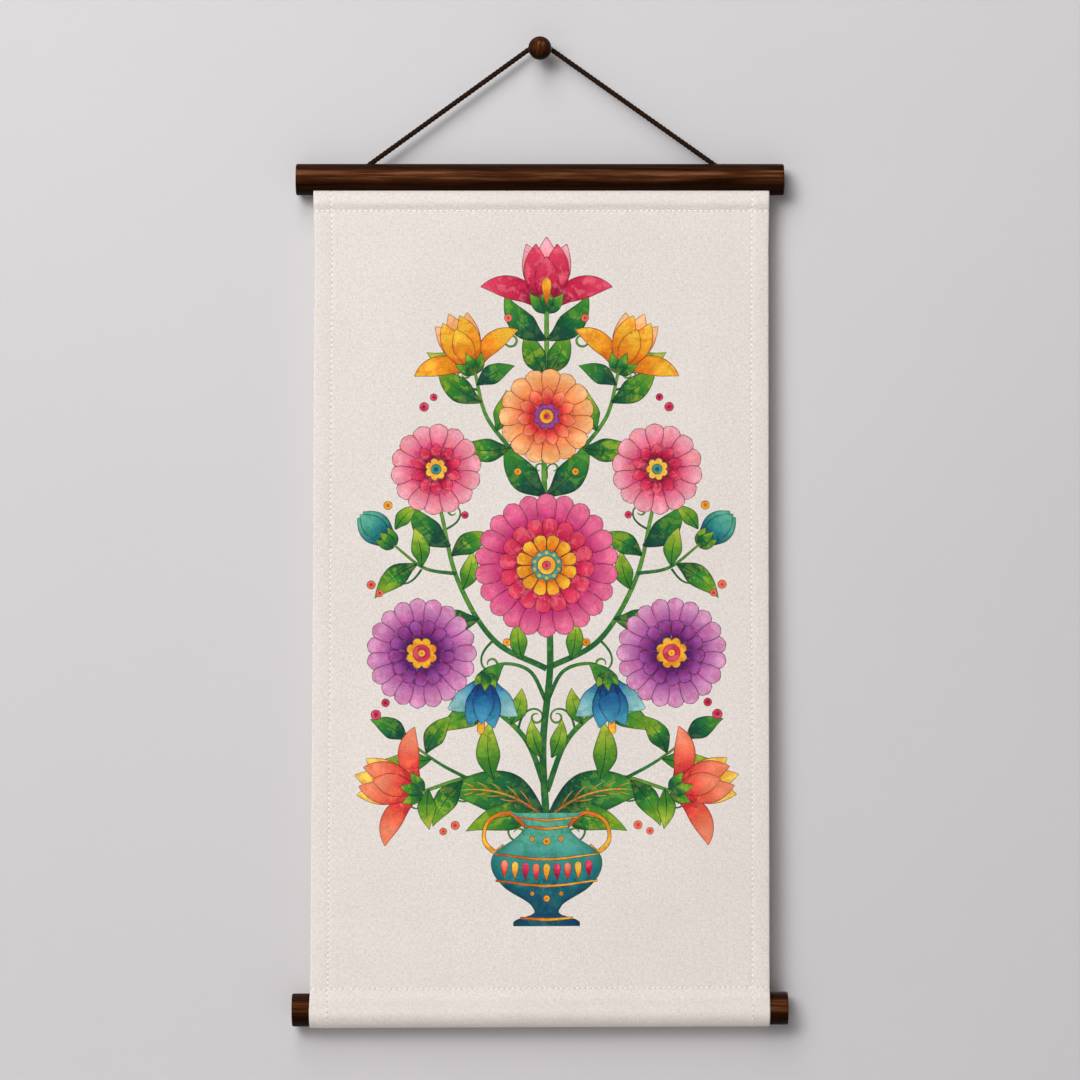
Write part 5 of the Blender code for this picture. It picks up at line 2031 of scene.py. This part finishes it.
class HANGING_OT_studio(bpy.types.Operator):
    """Sets the pale wall and floor, the lights and the camera"""

    bl_idname = "hanging.studio"
    bl_label = "Studio"

    MIDDLE_HEIGHT = -0.4099
    FLOOR_HEIGHT = -1.30
    WALL_TOP = 1.2
    WALL_HALF = 1.6
    FLOOR_HALF = 3.0
    FLOOR_FRONT = -4.0
    WALL_BEHIND = 0.0004
    WINDOW_PLACE = (-2.03, -4.55, 1.90)
    TOP_PLACE = (-0.5, -1.7, 1.9)
    REAR_PLACE = (0.9, 1.9, 0.5)
    TOP_SIZE = 1.2
    REAR_SIZE = 1.0
    SENSOR = 36.0
    PRINT_AHEAD = 0.020

    def execute(self, context):
        settings = context.scene.hanging_studio
        upright = self.rectangle(self.WALL_HALF, self.FLOOR_HEIGHT, self.WALL_TOP)
        upright = [(x, self.WALL_BEHIND, z) for x, z in upright]
        wall = self.panel("studio_wall", upright, settings.wall)
        level = self.rectangle(self.FLOOR_HALF, self.FLOOR_FRONT, self.FLOOR_HALF)
        level = [(x, y, self.FLOOR_HEIGHT) for x, y in level]
        floor = self.panel("studio_floor", level, settings.wall)
        key = self.lamp("window_light", self.WINDOW_PLACE, settings.key_size, settings.key_power)
        soft = self.lamp("broad_light", self.WINDOW_PLACE, settings.soft_size, settings.soft_power)
        top = self.lamp("top_light", self.TOP_PLACE, self.TOP_SIZE, settings.top_power)
        back = self.lamp("rear_light", self.REAR_PLACE, self.REAR_SIZE, settings.rear_power)
        passed = bpy.data.collections.new("passed_by_rear_light")
        passed.objects.link(wall)
        passed.collection_objects[0].light_linking.link_state = "EXCLUDE"
        back.light_linking.blocker_collection = passed
        world = context.scene.world or bpy.data.worlds.new("studio_air")
        context.scene.world = world
        world.use_nodes = True
        background = world.node_tree.nodes["Background"]
        background.inputs["Color"].default_value = (0.98, 0.99, 1.0, 1.0)
        background.inputs["Strength"].default_value = settings.fill
        lens = bpy.data.cameras.new("studio_camera")
        camera = linked_object("studio_camera", lens)
        camera.location = (0.0, -settings.distance, self.MIDDLE_HEIGHT)
        camera.rotation_euler = (math.pi / 2, 0.0, 0.0)
        lens.sensor_width = self.SENSOR
        lens.lens = self.SENSOR * (settings.distance - self.PRINT_AHEAD) / settings.view_width
        lens.clip_start, lens.clip_end = 0.05, 30.0
        context.scene.camera = camera
        context.scene.view_settings.view_transform = "Standard"
        return {"FINISHED"}

    def rectangle(self, half, low, high):
        return (-half, low), (half, low), (half, high), (-half, high)

    def panel(self, name, corners, colour):
        mesh = bpy.data.meshes.new(name)
        mesh.from_pydata(corners, [], [(0, 1, 2, 3)])
        mesh.materials.append(plaster_material(name, colour))
        return linked_object(name, mesh)

    def lamp(self, name, place, size, power):
        light = bpy.data.lights.new(name, "AREA")
        light.shape = "SQUARE"
        light.size = size
        light.energy = power
        lamp = linked_object(name, light)
        lamp.location = place
        aim = Vector((0.0, 0.0, self.MIDDLE_HEIGHT)) - Vector(place)
        lamp.rotation_euler = aim.to_track_quat("-Z", "Y").to_euler()
        return lamp


class HANGING_PT_panel(bpy.types.Panel):
    bl_label = "Cloth Wall Hanging"
    bl_idname = "HANGING_PT_panel"
    bl_space_type = "VIEW_3D"
    bl_region_type = "UI"
    bl_category = "Hanging"

    def draw(self, context):
        for operator, _ in STEPS:
            self.layout.operator(operator.bl_idname)
        for owner in dict.fromkeys(owner for _, owner in STEPS):
            settings = getattr(context.scene, owner)
            box = self.layout.box()
            for name in settings.__annotations__:
                box.prop(settings, name)


# Operators in their order, each with the settings that it reads.
STEPS = (
    (HANGING_OT_studio, "hanging_studio"),
    (HANGING_OT_cord, "hanging_cord"),
    (HANGING_OT_wall_knob, "hanging_rod"),
    (HANGING_OT_top_rod, "hanging_rod"),
    (HANGING_OT_bottom_rod, "hanging_rod"),
    (HANGING_OT_cloth, "hanging_cloth"),
    (HANGING_OT_stitches, "hanging_stitches"),
)
SETTINGS = {
    "hanging_rod": RodSettings,
    "hanging_cord": CordSettings,
    "hanging_cloth": ClothSettings,
    "hanging_stitches": StitchSettings,
    "hanging_studio": StudioSettings,
}


def register():
    for name, kind in SETTINGS.items():
        bpy.utils.register_class(kind)
        setattr(bpy.types.Scene, name, bpy.props.PointerProperty(type=kind))
    for operator, _ in STEPS:
        bpy.utils.register_class(operator)
    bpy.utils.register_class(HANGING_PT_panel)


def unregister():
    bpy.utils.unregister_class(HANGING_PT_panel)
    for operator, _ in reversed(STEPS):
        bpy.utils.unregister_class(operator)
    for name, kind in SETTINGS.items():
        delattr(bpy.types.Scene, name)
        bpy.utils.unregister_class(kind)


def main():
    register()
    for operator, _ in STEPS:
        group, name = operator.bl_idname.split(".")
        getattr(getattr(bpy.ops, group), name)()


if __name__ == "__main__":
    main()
